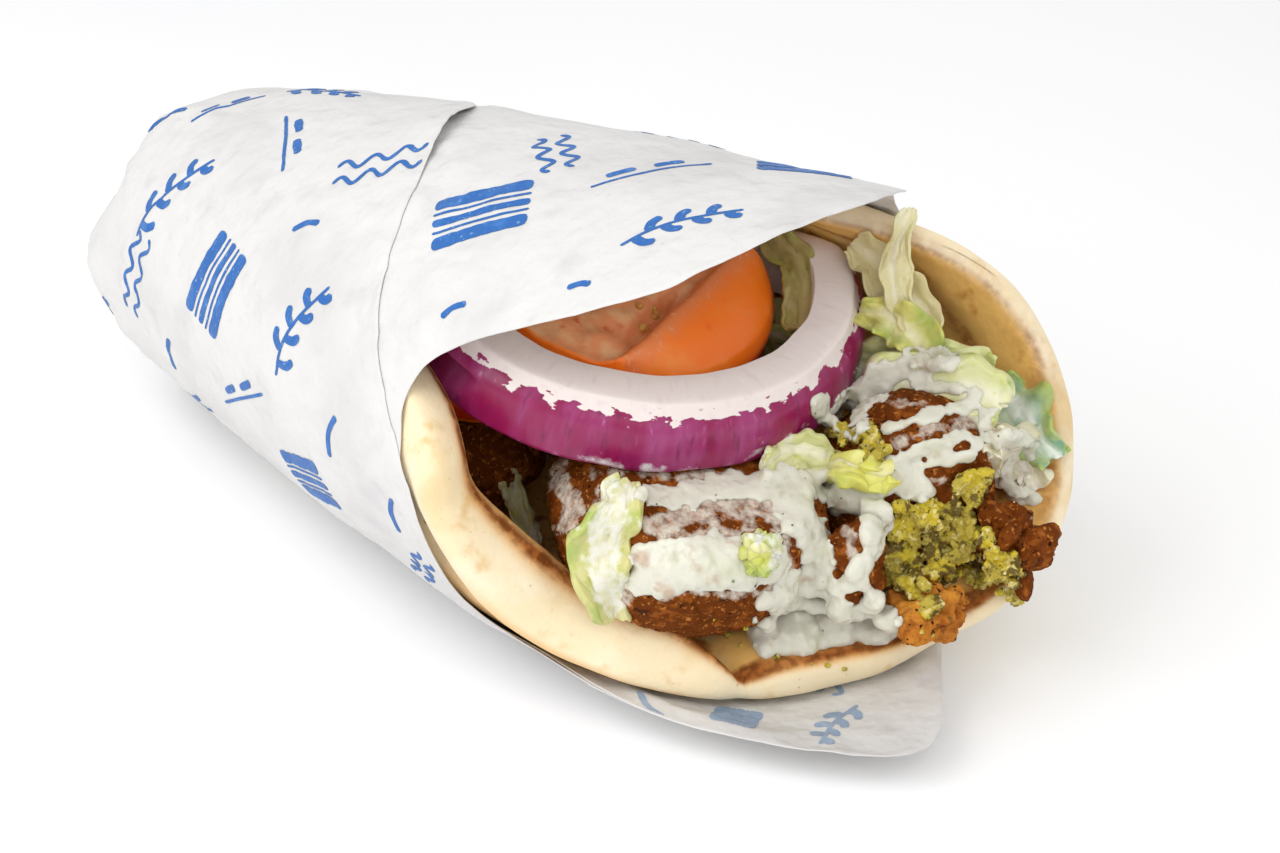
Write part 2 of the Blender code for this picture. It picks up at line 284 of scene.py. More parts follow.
def bread_thickness(x, direction):
    """The bread is thick at its near lip, thin at its far one, and puffed up under the fillings."""
    lip_x = round_curve(PITA_LIP, round(direction, 1))
    turn = math.radians(direction)
    far_side = smooth_step(math.cos(turn), -0.15, 0.85)
    floor = smooth_step(-math.sin(turn), 0.6, 0.95)
    lip = PITA_THICKNESS * (1.0 - 0.42 * far_side) - 1.6 * floor + LIP_SWELL * near_left(direction)
    within = PITA_PRESSED - 0.8 * far_side + 3.4 * floor * smooth_step(x, 20.0, 50.0)
    return within + (lip - within) * smooth_step(x, lip_x - 14.0, lip_x - 2.0)


def inside_pita(point):
    """The point, drawn in towards the body's middle where it would press into the bread."""
    half_width, half_height, middle = section(point.x, 0.0)
    up, across = (point.z - middle.z) / half_height, (point.y - middle.y) / half_width
    direction = math.degrees(math.atan2(up, across))
    if point.x > round_curve(PITA_LIP, round(direction, 1)) + LIP_CLEARANCE:
        return point
    inset = PAPER_GAP + PITA_GAP + FILLING_GAP + bread_thickness(point.x, direction)
    half_width, half_height, middle = section(point.x, inset)
    reach = math.hypot((point.y - middle.y) / half_width, (point.z - middle.z) / half_height)
    if reach <= 1.0:
        return point
    return Vector((point.x, *(middle.yz + (point.yz - middle.yz) / reach)))


def under_ring(point):
    """The point, pushed down where it would reach above the onion ring's underside."""
    above = (point - RING_CENTRE).dot(RING_NORMAL) + RING_HEIGHT + RING_GAP
    return point - RING_NORMAL * max(above, 0.0)


# ---------------------------------------------------------------- making meshes


def select_only(piece):
    bpy.ops.object.select_all(action="DESELECT")
    piece.select_set(True)
    bpy.context.view_layer.objects.active = piece


def shade_smooth(piece):
    select_only(piece)
    bpy.ops.object.shade_smooth()


def close_and_turn_out(piece):
    """Merges the seams and the gathered ends, turns the faces outwards and shades the piece smooth."""
    select_only(piece)
    bpy.ops.object.mode_set(mode="EDIT")
    bpy.ops.mesh.select_all(action="SELECT")
    bpy.ops.mesh.remove_doubles(threshold=0.002 * MM)
    bpy.ops.mesh.normals_make_consistent(inside=False)
    bpy.ops.object.mode_set(mode="OBJECT")
    bpy.ops.object.shade_smooth()


def grid_piece(name, columns, rows, point_at, marks=()):
    """A grid whose corners go to point_at(across, along), both 0 to 1. marks are (name, function) pairs
    of values that the material reads, such as how toasted a point of the bread is."""
    bpy.ops.object.select_all(action="DESELECT")
    bpy.ops.mesh.primitive_grid_add(x_subdivisions=columns, y_subdivisions=rows, size=1.0)
    piece = bpy.context.object
    piece.name = piece.data.name = name
    places = [(v.co.x + 0.5, v.co.y + 0.5) for v in piece.data.vertices]
    points = np.array([to_frame(point_at(u, v)) for u, v in places])
    for mark, value_at in marks:
        layer = piece.data.attributes.new(mark, "FLOAT", "POINT")
        layer.data.foreach_set("value", [value_at(u, v) for u, v in places])
    piece.data.vertices.foreach_set("co", points.ravel())
    close_and_turn_out(piece)
    return piece


def mesh_piece(name, points, faces):
    """A new piece of points in metres and of faces between them."""
    mesh = bpy.data.meshes.new(name)
    mesh.from_pydata(points, [], faces)
    piece = bpy.data.objects.new(name, mesh)
    bpy.context.scene.collection.objects.link(piece)
    return piece


def apply_modifier(piece, kind, **settings):
    """Adds a modifier to the piece and applies it."""
    select_only(piece)
    modifier = piece.modifiers.new(kind.title(), kind)
    for name, value in settings.items():
        setattr(modifier, name, value)
    bpy.ops.object.modifier_apply(modifier=modifier.name)


def roughen(piece, size, strength, detail=2):
    """Pushes the surface in and out with clouds of a size, both in millimetres."""
    clouds = bpy.data.textures.new("clouds", "CLOUDS")
    clouds.noise_scale = size * MM
    clouds.noise_depth = detail
    apply_modifier(
        piece, "DISPLACE", texture=clouds, texture_coords="LOCAL", strength=strength * MM, mid_level=0.5
    )


@functools.lru_cache(maxsize=None)
def ball_template(fineness):
    """Points and triangles of a unit ball, made once and copied into lumps and crumbs."""
    bpy.ops.object.select_all(action="DESELECT")
    bpy.ops.mesh.primitive_ico_sphere_add(subdivisions=fineness, radius=1.0)
    ball = bpy.context.object
    points = np.array([v.co for v in ball.data.vertices])
    faces = np.array([f.vertices for f in ball.data.polygons])
    bpy.data.objects.remove(ball)
    return points, faces


def lump_cluster(name, lumps, fineness, draw):
    """One mesh of many balls, each squashed its own way. A lump is (centre in metres, radius in mm)."""
    points, faces = ball_template(fineness)
    all_points, all_faces = [], []
    for k, (centre, radius) in enumerate(lumps):
        squash = np.array([draw.uniform(0.7, 1.2) for _ in range(3)]) * radius * MM
        turn = np.array(Matrix.Rotation(draw.uniform(0.0, 3.0), 3, "XYZ"[k % 3]))
        all_points.append((points * squash) @ turn + np.array(centre))
        all_faces.append(faces + k * len(points))
    return mesh_piece(name, np.concatenate(all_points).tolist(), np.concatenate(all_faces).tolist())


def melt(piece, voxel, rounds):
    """Joins the lumps of a piece to one closed skin, and softens it."""
    apply_modifier(piece, "REMESH", mode="VOXEL", voxel_size=voxel * MM)
    apply_modifier(piece, "SMOOTH", factor=0.5, iterations=rounds)
    shade_smooth(piece)


def surfaces_of(pieces):
    """The pieces' triangles as one tree to drop things on."""
    points, faces, start = [], [], 0
    for piece in pieces:
        points += [v.co.copy() for v in piece.data.vertices]
        faces += [[start + i for i in f.vertices] for f in piece.data.polygons]
        start = len(points)
    return BVHTree.FromPolygons(points, faces)


def drop(tree, right, up):
    """Where a thing dropped along the view lands: right and up are millimetres from the view's middle."""
    eye = VIEW_TARGET + TOWARDS_VIEW * VIEW_DISTANCE
    aim = VIEW_TARGET + VIEW_RIGHT * right + VIEW_UP * up
    place, normal, _, _ = tree.ray_cast(to_frame(eye), (aim - eye).normalized())
    return place, normal


def seen_at(points):
    """Where points in metres lie on the view: millimetres right of and above its middle."""
    away = np.asarray(points) / MM - np.array(BODY_TO_FRAME + VIEW_TARGET)
    scale = VIEW_DISTANCE / (VIEW_DISTANCE - away @ np.array(TOWARDS_VIEW))
    return np.stack((away @ np.array(VIEW_RIGHT), away @ np.array(VIEW_UP)), 1) * scale[:, None]


def along(points, share):
    """A point on the smooth line through the points, which are tuples or vectors of one length."""
    spans = len(points) - 1
    k = min(int(share * spans), spans - 1)
    t = share * spans - k
    a, b, c, d = (Vector(points[min(max(k + i, 0), spans)]) for i in (-1, 0, 1, 2))
    return 0.5 * (2 * b + (c - a) * t + (2 * a - 5 * b + 4 * c - d) * t**2 + (3 * b - a - 3 * c + d) * t**3)


def cover(strokes, spots, raggedness):
    """How strokes cover spots on the view: millimetres in from their wandering edge, and the share of the
    full thickness, which is domed across each stroke. A stroke is ((right, up) points, half width, share)."""

    @functools.lru_cache(maxsize=None)
    def drift(k):
        right, up = spots[k]
        return noise.noise(Vector((right, up, 0.0)) / 3.0) + 0.5 * noise.noise(Vector((right, up, 9.0)) / 1.2)

    inside, thick = np.full(len(spots), -99.0), np.zeros(len(spots))
    for line, half_width, share in strokes:
        middle = np.array([along(line, k / STROKE_STEPS) for k in range(STROKE_STEPS + 1)])
        reach = half_width + 2.0 * raggedness
        boxed = (spots > middle.min(axis=0) - reach) & (spots < middle.max(axis=0) + reach)
        close = np.flatnonzero(boxed.all(axis=1))
        if not len(close):
            continue
        gap = np.linalg.norm(spots[close, None] - middle, axis=2).min(axis=1)
        gap += raggedness * np.array([drift(k) for k in close])
        inside[close] = np.maximum(inside[close], half_width - gap)
        domed = share * np.sqrt(1.0 - np.clip(gap / half_width, 0.0, 1.0) ** 2)
        thick[close] = np.maximum(thick[close], domed)
    return inside, thick


def spread(tree, strokes, spacing, raggedness, draw):
    """Places that the strokes cover, a spacing apart: (place, normal, share of the thickness)."""
    corners = [(np.array(line), half_width) for line, half_width, _ in strokes]
    low = np.min([line.min(axis=0) - half_width for line, half_width in corners], axis=0)
    high = np.max([line.max(axis=0) + half_width for line, half_width in corners], axis=0)
    spots = np.array([
        (right + draw.uniform(-0.35, 0.35) * spacing, up + draw.uniform(-0.35, 0.35) * spacing)
        for right in np.arange(low[0], high[0], spacing) for up in np.arange(low[1], high[1], spacing)
    ])
    inside, thick = cover(strokes, spots, raggedness)
    for k in np.flatnonzero(inside > 0.0):
        place, normal = drop(tree, *spots[k])
        if place is not None:
            yield place, normal, float(thick[k])


def wet_by_film(pieces, tree):
    """Marks, from 0 to 1, where the sauce's film wets the pieces on the side that it was spooned on."""
    eye = to_frame(VIEW_TARGET + TOWARDS_VIEW * VIEW_DISTANCE)
    for piece in pieces:
        points = np.empty(len(piece.data.vertices) * 3)
        piece.data.vertices.foreach_get("co", points)
        points = points.reshape(-1, 3)
        spots = seen_at(points)
        inside = cover(FILM_STROKES, spots, 1.6)[0]
        wet = np.clip((inside + FILM_FADE) / (2.0 * FILM_FADE), 0.0, 1.0)
        for k in np.flatnonzero(wet):
            point = Vector(points[k])
            hit = tree.ray_cast(eye, (point - eye).normalized())[0]
            if hit is None or (hit - point).length > 1.5 * MM:
                wet[k] = 0.0
        piece.data.attributes.new("film", "FLOAT", "POINT").data.foreach_set("value", wet)


def finish_piece(piece, material, slot, *nodes):
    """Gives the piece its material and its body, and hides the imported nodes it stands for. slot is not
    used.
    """
    piece.data.materials.clear()
    piece.data.materials.append(material)
    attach(piece, "root")
    if nodes:
        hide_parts(*nodes)


# ---------------------------------------------------------------- materials


def add_node(tree, kind, inputs=None, **settings):
    """Adds a node. inputs gives a socket's value, or the other node's socket that it is linked to."""
    node = tree.nodes.new(kind)
    for name, value in settings.items():
        setattr(node, name, value)
    for socket, value in (inputs or {}).items():
        if isinstance(value, bpy.types.NodeSocket):
            tree.links.new(value, node.inputs[socket])
        else:
            node.inputs[socket].default_value = value
    return node


def new_material(name, roughness, **sockets):
    """A material with constants on its shader's own sockets. Gives its node tree and shader too."""
    material = bpy.data.materials.new(name)
    material.use_nodes = True
    shader = material.node_tree.nodes["Principled BSDF"]
    shader.inputs["Roughness"].default_value = roughness
    for socket, value in sockets.items():
        shader.inputs[socket.replace("_", " ")].default_value = value
    return material, material.node_tree, shader


def colour_of(value):
    """A colour as four numbers, from a hex code or a colour property."""
    return (*(linear(value) if isinstance(value, str) else value), 1.0)


def mottle(tree, base, layers, vector=None):
    """Colours laid over a base where a noise lies above a level: (size in mm, low, high, colour, mask)."""
    if vector is None:
        vector = add_node(tree, "ShaderNodeTexCoord").outputs["Object"]
    result = base if isinstance(base, bpy.types.NodeSocket) else colour_of(base)
    for size, low, high, colour, *mask in layers:
        cloud = add_node(
            tree, "ShaderNodeTexNoise", {"Vector": vector, "Scale": 1.0 / (size * MM), "Detail": 3.0}
        )
        share = add_node(
            tree, "ShaderNodeMapRange", {"Value": cloud.outputs[0], "From Min": low, "From Max": high},
            interpolation_type="SMOOTHSTEP",
        ).outputs[0]
        if mask:
            share = add_node(
                tree, "ShaderNodeMath", {0: share, 1: mask[0]}, operation="MULTIPLY", use_clamp=True
            ).outputs[0]
        result = add_node(
            tree, "ShaderNodeMix", {0: share, 6: result, 7: colour_of(colour)}, data_type="RGBA"
        ).outputs[2]
    return result


def coat(tree, shader, colour, bumps, vector=None):
    """Gives the shader its colour, and bumps of (size, height), both in millimetres, one on the other."""
    tree.links.new(colour, shader.inputs["Base Color"])
    if vector is None:
        vector = add_node(tree, "ShaderNodeTexCoord").outputs["Object"]
    normal = None
    for size, height in bumps:
        cloud = add_node(
            tree, "ShaderNodeTexNoise", {"Vector": vector, "Scale": 1.0 / (size * MM), "Detail": 3.0}
        )
        inputs = {"Height": cloud.outputs[0], "Distance": height * MM, "Strength": 1.0}
        if normal is not None:
            inputs["Normal"] = normal
        normal = add_node(tree, "ShaderNodeBump", inputs).outputs[0]
    tree.links.new(normal, shader.inputs["Normal"])


def marked(tree, name):
    """The value that a piece's points carry under a name."""
    return add_node(tree, "ShaderNodeAttribute", attribute_name=name).outputs["Fac"]


def smear_over(tree, colour, film):
    """A thin film of sauce where the piece's points are marked wet, broken up where it thins out."""
    vector = add_node(tree, "ShaderNodeTexCoord").outputs["Object"]
    cloud = add_node(
        tree, "ShaderNodeTexNoise",
        {"Vector": vector, "Scale": 1.0 / (1.5 * MM), "Detail": 4.0, "Roughness": 0.6},
    )
    wet = add_node(tree, "ShaderNodeMath", {0: marked(tree, "film"), 1: cloud.outputs[0]}, operation="ADD")
    share = add_node(
        tree, "ShaderNodeMapRange",
        {"Value": wet.outputs[0], "From Min": 1.26, "From Max": 1.6, "To Max": 0.9},
    )
    inputs = {0: share.outputs[0], 6: colour, 7: colour_of(film)}
    return add_node(tree, "ShaderNodeMix", inputs, data_type="RGBA").outputs[2]


# ---------------------------------------------------------------- the paper wrap


class WrapSettings(bpy.types.PropertyGroup):
    thickness: size_property("Paper thickness", "Thickness of each paper layer", 0.2)
    wrinkle: size_property("Wrinkle depth", "How deep the creases of the paper are", 1.0)
    seam_lift: size_property("Seam lift", "How far the outer layer's edge stands off the inner one", 1.7)
    line_width: size_property("Printed line", "Width of the printed strokes", 1.1)
    paper: colour_property("Paper", "Bleached greaseproof paper", "#D9D8D6")
    ink: colour_property("Ink", "Blue printing ink", "#2563AC")


def crumple(point, size):
    """Straight creases between flat facets, as pressed paper has: 0 on a crease, 1 on a facet."""
    near_distance, far_distance = noise.voronoi(point / size)[0][:2]
    return min((far_distance - near_distance) * 2.2, 1.0)


def wrinkled(point, x, direction, depth):
    """How far the paper stands out from the body: creases, more of them at the closed end and the seam."""
    end = 1.0 - smooth_step(x, CLOSED_END_X + 8.0, CLOSED_END_X + 60.0)
    seam = near(x, round_curve(SEAM, round(direction, 1)) + 8.0, 14.0)
    stretched = Vector((point.x * 0.6, point.y, point.z))
    fold = crumple(stretched + Vector((3.0, 0.0, 0.0)), FOLD_SIZE) - 1.0
    small = crumple(point, CREASE_SIZE) - 1.0
    soft = noise.noise(point / 21.0) * 0.5
    creased = soft + 0.8 * fold * (0.35 + end) + small * (0.18 + 0.5 * end + 0.45 * seam) + 0.5 * end
    return max(depth * creased, -WRINKLE_ROOM)


def end_ears(x, direction):
    """The corners of the folded closed end, which stand up beside the fold."""
    end = 1.0 - smooth_step(x, CLOSED_END_X + 4.0, CLOSED_END_X + 22.0)
    top = near(direction, 108.0, 15.0)
    side = near(direction, 172.0, 24.0)
    return end * (EAR_HEIGHT * top + EAR_HEIGHT * side)


def hug_bread(x, direction):
    """How far the paper's free edge is drawn in to lie against the bread's near lip."""
    edge_x = round_curve(PAPER_EDGE, round(direction, 1))
    near_side = smooth_step(direction, 138.0, 155.0) * (1.0 - smooth_step(direction, 222.0, 238.0))
    return PAPER_HUG * near_side * smooth_step(x, edge_x - 18.0, edge_x - 5.0)


def paper_point(x, direction, inset, depth):
    """A point of the paper: on the body, but hanging free as a flat flap under the lip."""
    inset += hug_bread(x, direction)
    plain = body_point(x, direction, inset)
    out = end_ears(x, direction) + wrinkled(plain, x, direction, depth)
    out *= smooth_step(x, CLOSED_END_X + 0.3, CLOSED_END_X + 5.0)  # the folds meet in one point at the end
    point = body_point(x, direction, inset - out)
    free = smooth_step(x, FLAP_START_X, FLAP_START_X + 26.0)
    free *= smooth_step(direction, 216.0, 242.0) * (1.0 - smooth_step(direction, 318.0, 344.0))
    ripple = 0.5 * noise.noise(Vector((x, plain.y, 0.0)) / 14.0) * smooth_step(x, 60.0, 85.0)
    level = FLAP_LEVEL + FLAP_TIP_RISE * smooth_step(x, 74.0, 90.0) + inset + ripple
    point.z -= free * max(point.z - level, 0.0)
    point.z = max(point.z, max(inset, 0.0))
    return point


def shell_rows(rings, turns, thickness, near_end=1.4, squareness=1.0):
    """Rows over a shell's outside, edge and inside: (share of the length, depth in the wall, overshoot)."""
    shares = [(k / rings) ** near_end for k in range(rings + 1)]
    rows = [(share, 0.0, 0.0) for share in shares]
    for k in range(1, turns):
        turn = math.pi * k / turns
        rows.append((1.0, (1.0 - math.cos(turn)) / 2.0, thickness / 2.0 * math.sin(turn) ** squareness))
    return rows + [(share, 1.0, 0.0) for share in reversed(shares)]


def shell_piece(name, columns, rows, edge, inset, thickness, closed_x, point_at, marks=()):
    """A shell closed at one end, along the rows, with its open edge where edge(direction) says."""

    def row_of(v):
        return rows[round(v * (len(rows) - 1))]

    def place(u, v):
        share, depth, beyond = row_of(v)
        direction = 360.0 * u % 360.0
        start_x = closed_x + thickness * depth
        end_x = edge(direction) - thickness / 2.0
        x = start_x + (end_x - start_x) * share + beyond
        return point_at(x, direction, inset + thickness * depth)

    row_marks = [(mark, lambda u, v, f=f: f(360.0 * u % 360.0, *row_of(v))) for mark, f in marks]
    return grid_piece(name, columns, len(rows) - 1, place, row_marks)


def outer_layer_point(x, direction, inset, depth, lift):
    """The outer layer lies on the inner one and stands off it near its slanting seam."""
    seam_x = round_curve(SEAM, round(direction, 1))
    open_seam = near(direction, 92.0, 13.0) + 0.03
    off = LAYER_GAP + lift * open_seam * smooth_step(x, seam_x - 13.0, seam_x)
    return paper_point(x, direction, inset - off, depth)


def paper_material(settings):
    """Bleached greaseproof paper, calendered smooth: white, with a soft sheen and fine crumples."""
    material, tree, shader = new_material("greaseproof paper", 0.5, Specular_IOR_Level=0.35)
    # The broad grey clouds, 30 mm across, are painted faint shade.
    colour = mottle(
        tree, settings.paper,
        ((30.0, 0.48, 0.72, "#CFCDCC"), (7.0, 0.52, 0.82, "#CCCACA"), (1.6, 0.6, 0.85, "#CFCDCC")),
    )
    coat(tree, shader, colour, ((12.0, 1.6), (4.0, 0.45), (0.6, 0.02)))
    return material


class WrapPaper(bpy.types.Operator):
    """Wraps the bread in two layers of paper, the outer one ending in a slanting seam"""

    bl_idname = "pita.wrap_paper"
    bl_label = "Wrap the paper"

    def execute(self, context):
        settings = context.scene.pita_wrap
        thickness, depth, lift = (
            value / MM for value in (settings.thickness, settings.wrinkle, settings.seam_lift)
        )
        material = paper_material(settings)
        rows = shell_rows(128, 2, thickness, 1.0)
        inner = shell_piece(
            "paper_inner_layer", 330, rows, lambda d: round_curve(PAPER_EDGE, d), PAPER_INSET, thickness,
            CLOSED_END_X, lambda x, d, inset: paper_point(x, d, inset, depth),
        )
        finish_piece(inner, material, "paper", "paper_wrap")
        outer = shell_piece(
            "paper_outer_layer", 330, rows, lambda d: round_curve(SEAM, d), PAPER_INSET, thickness,
            CLOSED_END_X, lambda x, d, inset: outer_layer_point(x, d, inset, depth, lift),
        )
        finish_piece(outer, material, "paper", "paper_wrap")
        return {"FINISHED"}


# ---------------------------------------------------------------- the print


def on_layer(x, direction, depth, lift, outer):
    """A point of the print, just above the layer it is printed on."""
    if outer:
        return outer_layer_point(x, direction, PAPER_INSET - INK_LIFT, depth, lift)
    return paper_point(x, direction, PAPER_INSET - INK_LIFT, depth)


def wave_motif(size):
    """Two long wavy lines, one above the other."""
    for row in (-0.13, 0.13):
        line = [
            (size * (k / 24.0 - 0.5), size * (row + 0.075 * math.sin(k * math.pi / 4.0))) for k in range(25)
        ]
        yield line, 0.8


def sprig_motif(size):
    """A curved stem with leaves on alternate sides."""
    stem = [(size * (k / 8.0 - 0.5), size * 0.06 * math.sin(k * 0.5)) for k in range(9)]
    yield stem, 0.6
    for k in range(1, 8):
        base, side = Vector(stem[k]), 1 - 2 * (k % 2)
        tip = base + Vector((0.15, 0.17 * side)) * size * (1.0 - 0.05 * k)
        yield [base, base.lerp(tip, 0.5) + Vector((-0.02, 0.03 * side)) * size, tip], 1.5


def panel_motif(size):
    """A block of upright bars: thick ones at its sides and thin ones between."""
    for row, width in ((-0.27, 2.6), (-0.12, 0.5), (0.0, 1.4), (0.12, 0.5), (0.27, 2.6)):
        yield [(-0.5 * size, row * size), (0.0, (row + 0.012) * size), (0.5 * size, row * size)], width


def bars_motif(size):
    """A long thin line beside two short thick bars."""
    yield [(-0.9 * size, 0.0), (0.0, 0.02 * size), (0.9 * size, 0.0)], 0.6
    for start in (-0.6, 0.12):
        yield [(start * size, 0.22 * size), ((start + 0.45) * size, 0.25 * size)], 1.4


def dash_motif(size):
    """One short bent stroke."""
    yield [(-0.5 * size, -0.1 * size), (0.0, 0.1 * size), (0.5 * size, 0.05 * size)], 1.1


MOTIFS = {
    "wave": wave_motif, "sprig": sprig_motif, "panel": panel_motif, "bars": bars_motif, "dash": dash_motif,
}

# What is printed where: (motif, x, direction, turn in degrees, size, on the outer layer).
PRINTED = (
    ("panel", -44, 158, 75, 17, True), ("sprig", -70, 140, 60, 22, True),
    ("bars", -50, 112, -40, 11, True), ("wave", -74, 170, 80, 17, True),
    ("sprig", -16, 158, 70, 21, True), ("dash", -26, 134, 20, 6, True),
    ("wave", -22, 112, 35, 17, True), ("dash", -90, 112, 30, 9, True),
    ("bars", -78, 100, 60, 8, True), ("sprig", -62, 82, 15, 17, True),
    ("bars", -32, 186, 30, 10, True), ("dash", -2, 178, 70, 9, True),
    ("panel", -14, 200, 20, 15, True), ("dash", -60, 190, 70, 8, True),
    ("dash", 14, 190, 80, 8, True), ("wave", 16, 206, 60, 12, True),
    ("bars", 26, 90, 62, 11, False), ("sprig", 44, 104, 55, 19, False),
    ("wave", 6, 92, -35, 15, False), ("dash", 18, 138, 40, 5, False),
    ("panel", 8, 116, 40, 17, False), ("dash", 38, 124, 20, 4, False),
    ("panel", 40, 66, 40, 15, False), ("sprig", 10, 60, 10, 18, False),
    ("bars", 30, 34, 75, 11, False), ("wave", -10, 30, 50, 17, False),
    ("sprig", -40, 20, 30, 20, False), ("panel", -66, 10, 60, 14, True),
    ("bars", -40, 350, 20, 12, True), ("wave", 10, 340, 45, 17, True),
    ("sprig", -70, 330, 10, 18, True), ("bars", -60, 215, 30, 12, True),
    ("dash", -86, 66, 40, 9, True), ("sprig", -90, 200, 80, 13, True),
    ("dash", 52, 238, 10, 8, False), ("panel", 62, 250, 60, 9, False), ("sprig", 74, 262, 75, 15, False),
    ("wave", 64, 277, 80, 13, False),
)
FLAP_DIRECTIONS = (235.0, 300.0)  # the flap is turned up, so its print is seen through the paper


def ink_material(name, base, faded, skipped):
    """Blue flexo printing ink, thin enough to show the paper's grain where it skips."""
    material, tree, shader = new_material(name, 0.5, Specular_IOR_Level=0.35)
    colour = mottle(tree, base, ((3.0, 0.5, 0.8, faded), (0.7, 0.6, 0.78, skipped)))
    coat(tree, shader, colour, ((12.0, 1.6), (4.0, 0.45)))
    return material


class PrintMotifs(bpy.types.Operator):
    """Prints blue sprigs, waves, bars, dashes and striped panels on the paper"""

    bl_idname = "pita.print_motifs"
    bl_label = "Print the motifs"

    def execute(self, context):
        settings = context.scene.pita_wrap
        depth, lift = settings.wrinkle / MM, settings.seam_lift / MM
        inside = PAPER_INSET + settings.thickness / MM + INK_LIFT
        ink = ink_material("flexo printing ink", settings.ink, "#3F7AC0", "#7FA5D2")
        through = ink_material("ink seen through paper", "#8FA4BF", "#A3B3C7", "#BCC5D0")
        flap = [row for row in PRINTED if FLAP_DIRECTIONS[0] < row[2] < FLAP_DIRECTIONS[1] and not row[5]]
        self.print_piece(
            "printed_motifs", PRINTED, settings, ink, False,
            lambda x, d, outer: on_layer(x, d, depth, lift, outer),
        )
        self.print_piece(
            "printed_motifs_seen_through", flap, settings, through, True,
            lambda x, d, outer: paper_point(x, d, inside, depth),
        )
        return {"FINISHED"}

    def print_piece(self, name, rows, settings, material, inside, surface):
        """Prints the rows of PRINTED as one piece, on the paper's outside or its inside."""
        points, faces = [], []
        for motif, x, direction, turn, size, outer in rows:
            for line, width in MOTIFS[motif](size):
                self.add_stroke(
                    line, width * settings.line_width / MM / 2.0, x, direction, turn,
                    lambda a, b: surface(a, b, outer), outer, inside, points, faces,
                )
        if inside:
            faces = [face[::-1] for face in faces]
        piece = mesh_piece(name, [to_frame(point) for point in points], faces)
        apply_modifier(piece, "SOLIDIFY", thickness=0.03 * MM, offset=1.0)
        finish_piece(piece, material, "paper")

    def add_stroke(self, line, half_width, x, direction, turn, surface, outer, inside, points, faces):
        """Lays one stroke on the paper as a ribbon with slightly uneven edges, cut off at the seam."""
        radius = section(x, 0.0)[0]
        cos, sin = math.cos(math.radians(turn)), math.sin(math.radians(turn))
        length = sum((Vector(b) - Vector(a)).length for a, b in zip(line, line[1:]))
        steps = max(int(length / 0.45), 6)
        across = 4
        last = None
        for k in range(steps + 1):
            share = k / steps
            middle = along(line, share)
            ahead = along(line, min(share + 0.01, 1.0)) - along(line, max(share - 0.01, 0.0))
            side = Vector((-ahead.y, ahead.x)).normalized()
            from_end = min(share, 1.0 - share) * length / half_width
            width = half_width * (1.0 + 0.22 * noise.noise(Vector((k * 0.3, x, direction))))
            width *= math.sqrt(1.0 - (1.0 - min(from_end, 1.0)) ** 2 * 0.9)
            row = []
            for j in range(across + 1):
                p, q = middle + side * width * (2.0 * j / across - 1.0)
                place_x = x + p * cos - q * sin
                place_d = direction - math.degrees((p * sin + q * cos) / radius)
                seam_x = round_curve(SEAM, round(place_d % 360.0, 1))
                edge_x = round_curve(PAPER_EDGE, round(place_d % 360.0, 1))
                shown = place_x < seam_x - 0.6 if outer else place_x < edge_x - 0.8
                shown = shown and (outer or inside or place_x > seam_x + 0.5)
                row.append((len(points), shown))
                points.append(surface(place_x, place_d % 360.0))
            if last:
                for j in range(across):
                    corners = (last[j], last[j + 1], row[j + 1], row[j])
                    if all(shown for _, shown in corners):
                        faces.append([index for index, _ in reversed(corners)])
            last = row


# ---------------------------------------------------------------- the bread


class BreadSettings(bpy.types.PropertyGroup):
    unevenness: size_property("Unevenness", "How far the bread's skin rises and falls", 0.5)
    crumb: colour_property("Bread", "Pale skin of a soft pita", "#F3E1BC")
    inner: colour_property("Inner face", "The griddled face inside the fold", "#F2C26E")
    toast: colour_property("Toasted spots", "Where the bread touched the griddle", "#BE782E")


def pita_point(x, direction, inset, unevenness):
    """A point of the bread: its far lip leans out, its bottom is creased, and its skin is uneven."""
    lip_x = round_curve(PITA_LIP, round(direction, 1))
    outside = PAPER_GAP + PITA_GAP
    depth = (inset - outside) / PITA_THICKNESS
    far_side = smooth_step(math.cos(math.radians(direction + 12.0)), 0.5, 0.9)
    flare = LIP_FLARE * far_side * smooth_step(x, lip_x - 9.0, lip_x)
    at = outside + depth * bread_thickness(x, direction) - flare
    plain = body_point(x, direction, at)
    fold = math.exp(-abs(direction - BREAD_FOLD) / 4.5) * smooth_step(x, lip_x - 30.0, lip_x - 3.0)
    at -= FOLD_DEPTH * fold * depth
    at += LOBE_GROOVE * near(x, lip_x - 8.0, 2.0) * near_left(direction) * (1.0 - depth)
    bulge = unevenness * (noise.noise(plain / 13.0) + 0.4 * noise.noise(plain / 4.5))
    at += bulge * (1.0 if depth > 0.5 else -0.5)
    point = body_point(x, direction, max(at, outside - 0.6 if x < lip_x - 30.0 else at))
    point.x += 1.0 * noise.noise(plain / 11.0 + Vector((5.0, 5.0, 5.0))) * smooth_step(x, lip_x - 8.0, lip_x)
    point.x -= 2.0 * fold * smooth_step(x, lip_x - 8.0, lip_x)
    return point


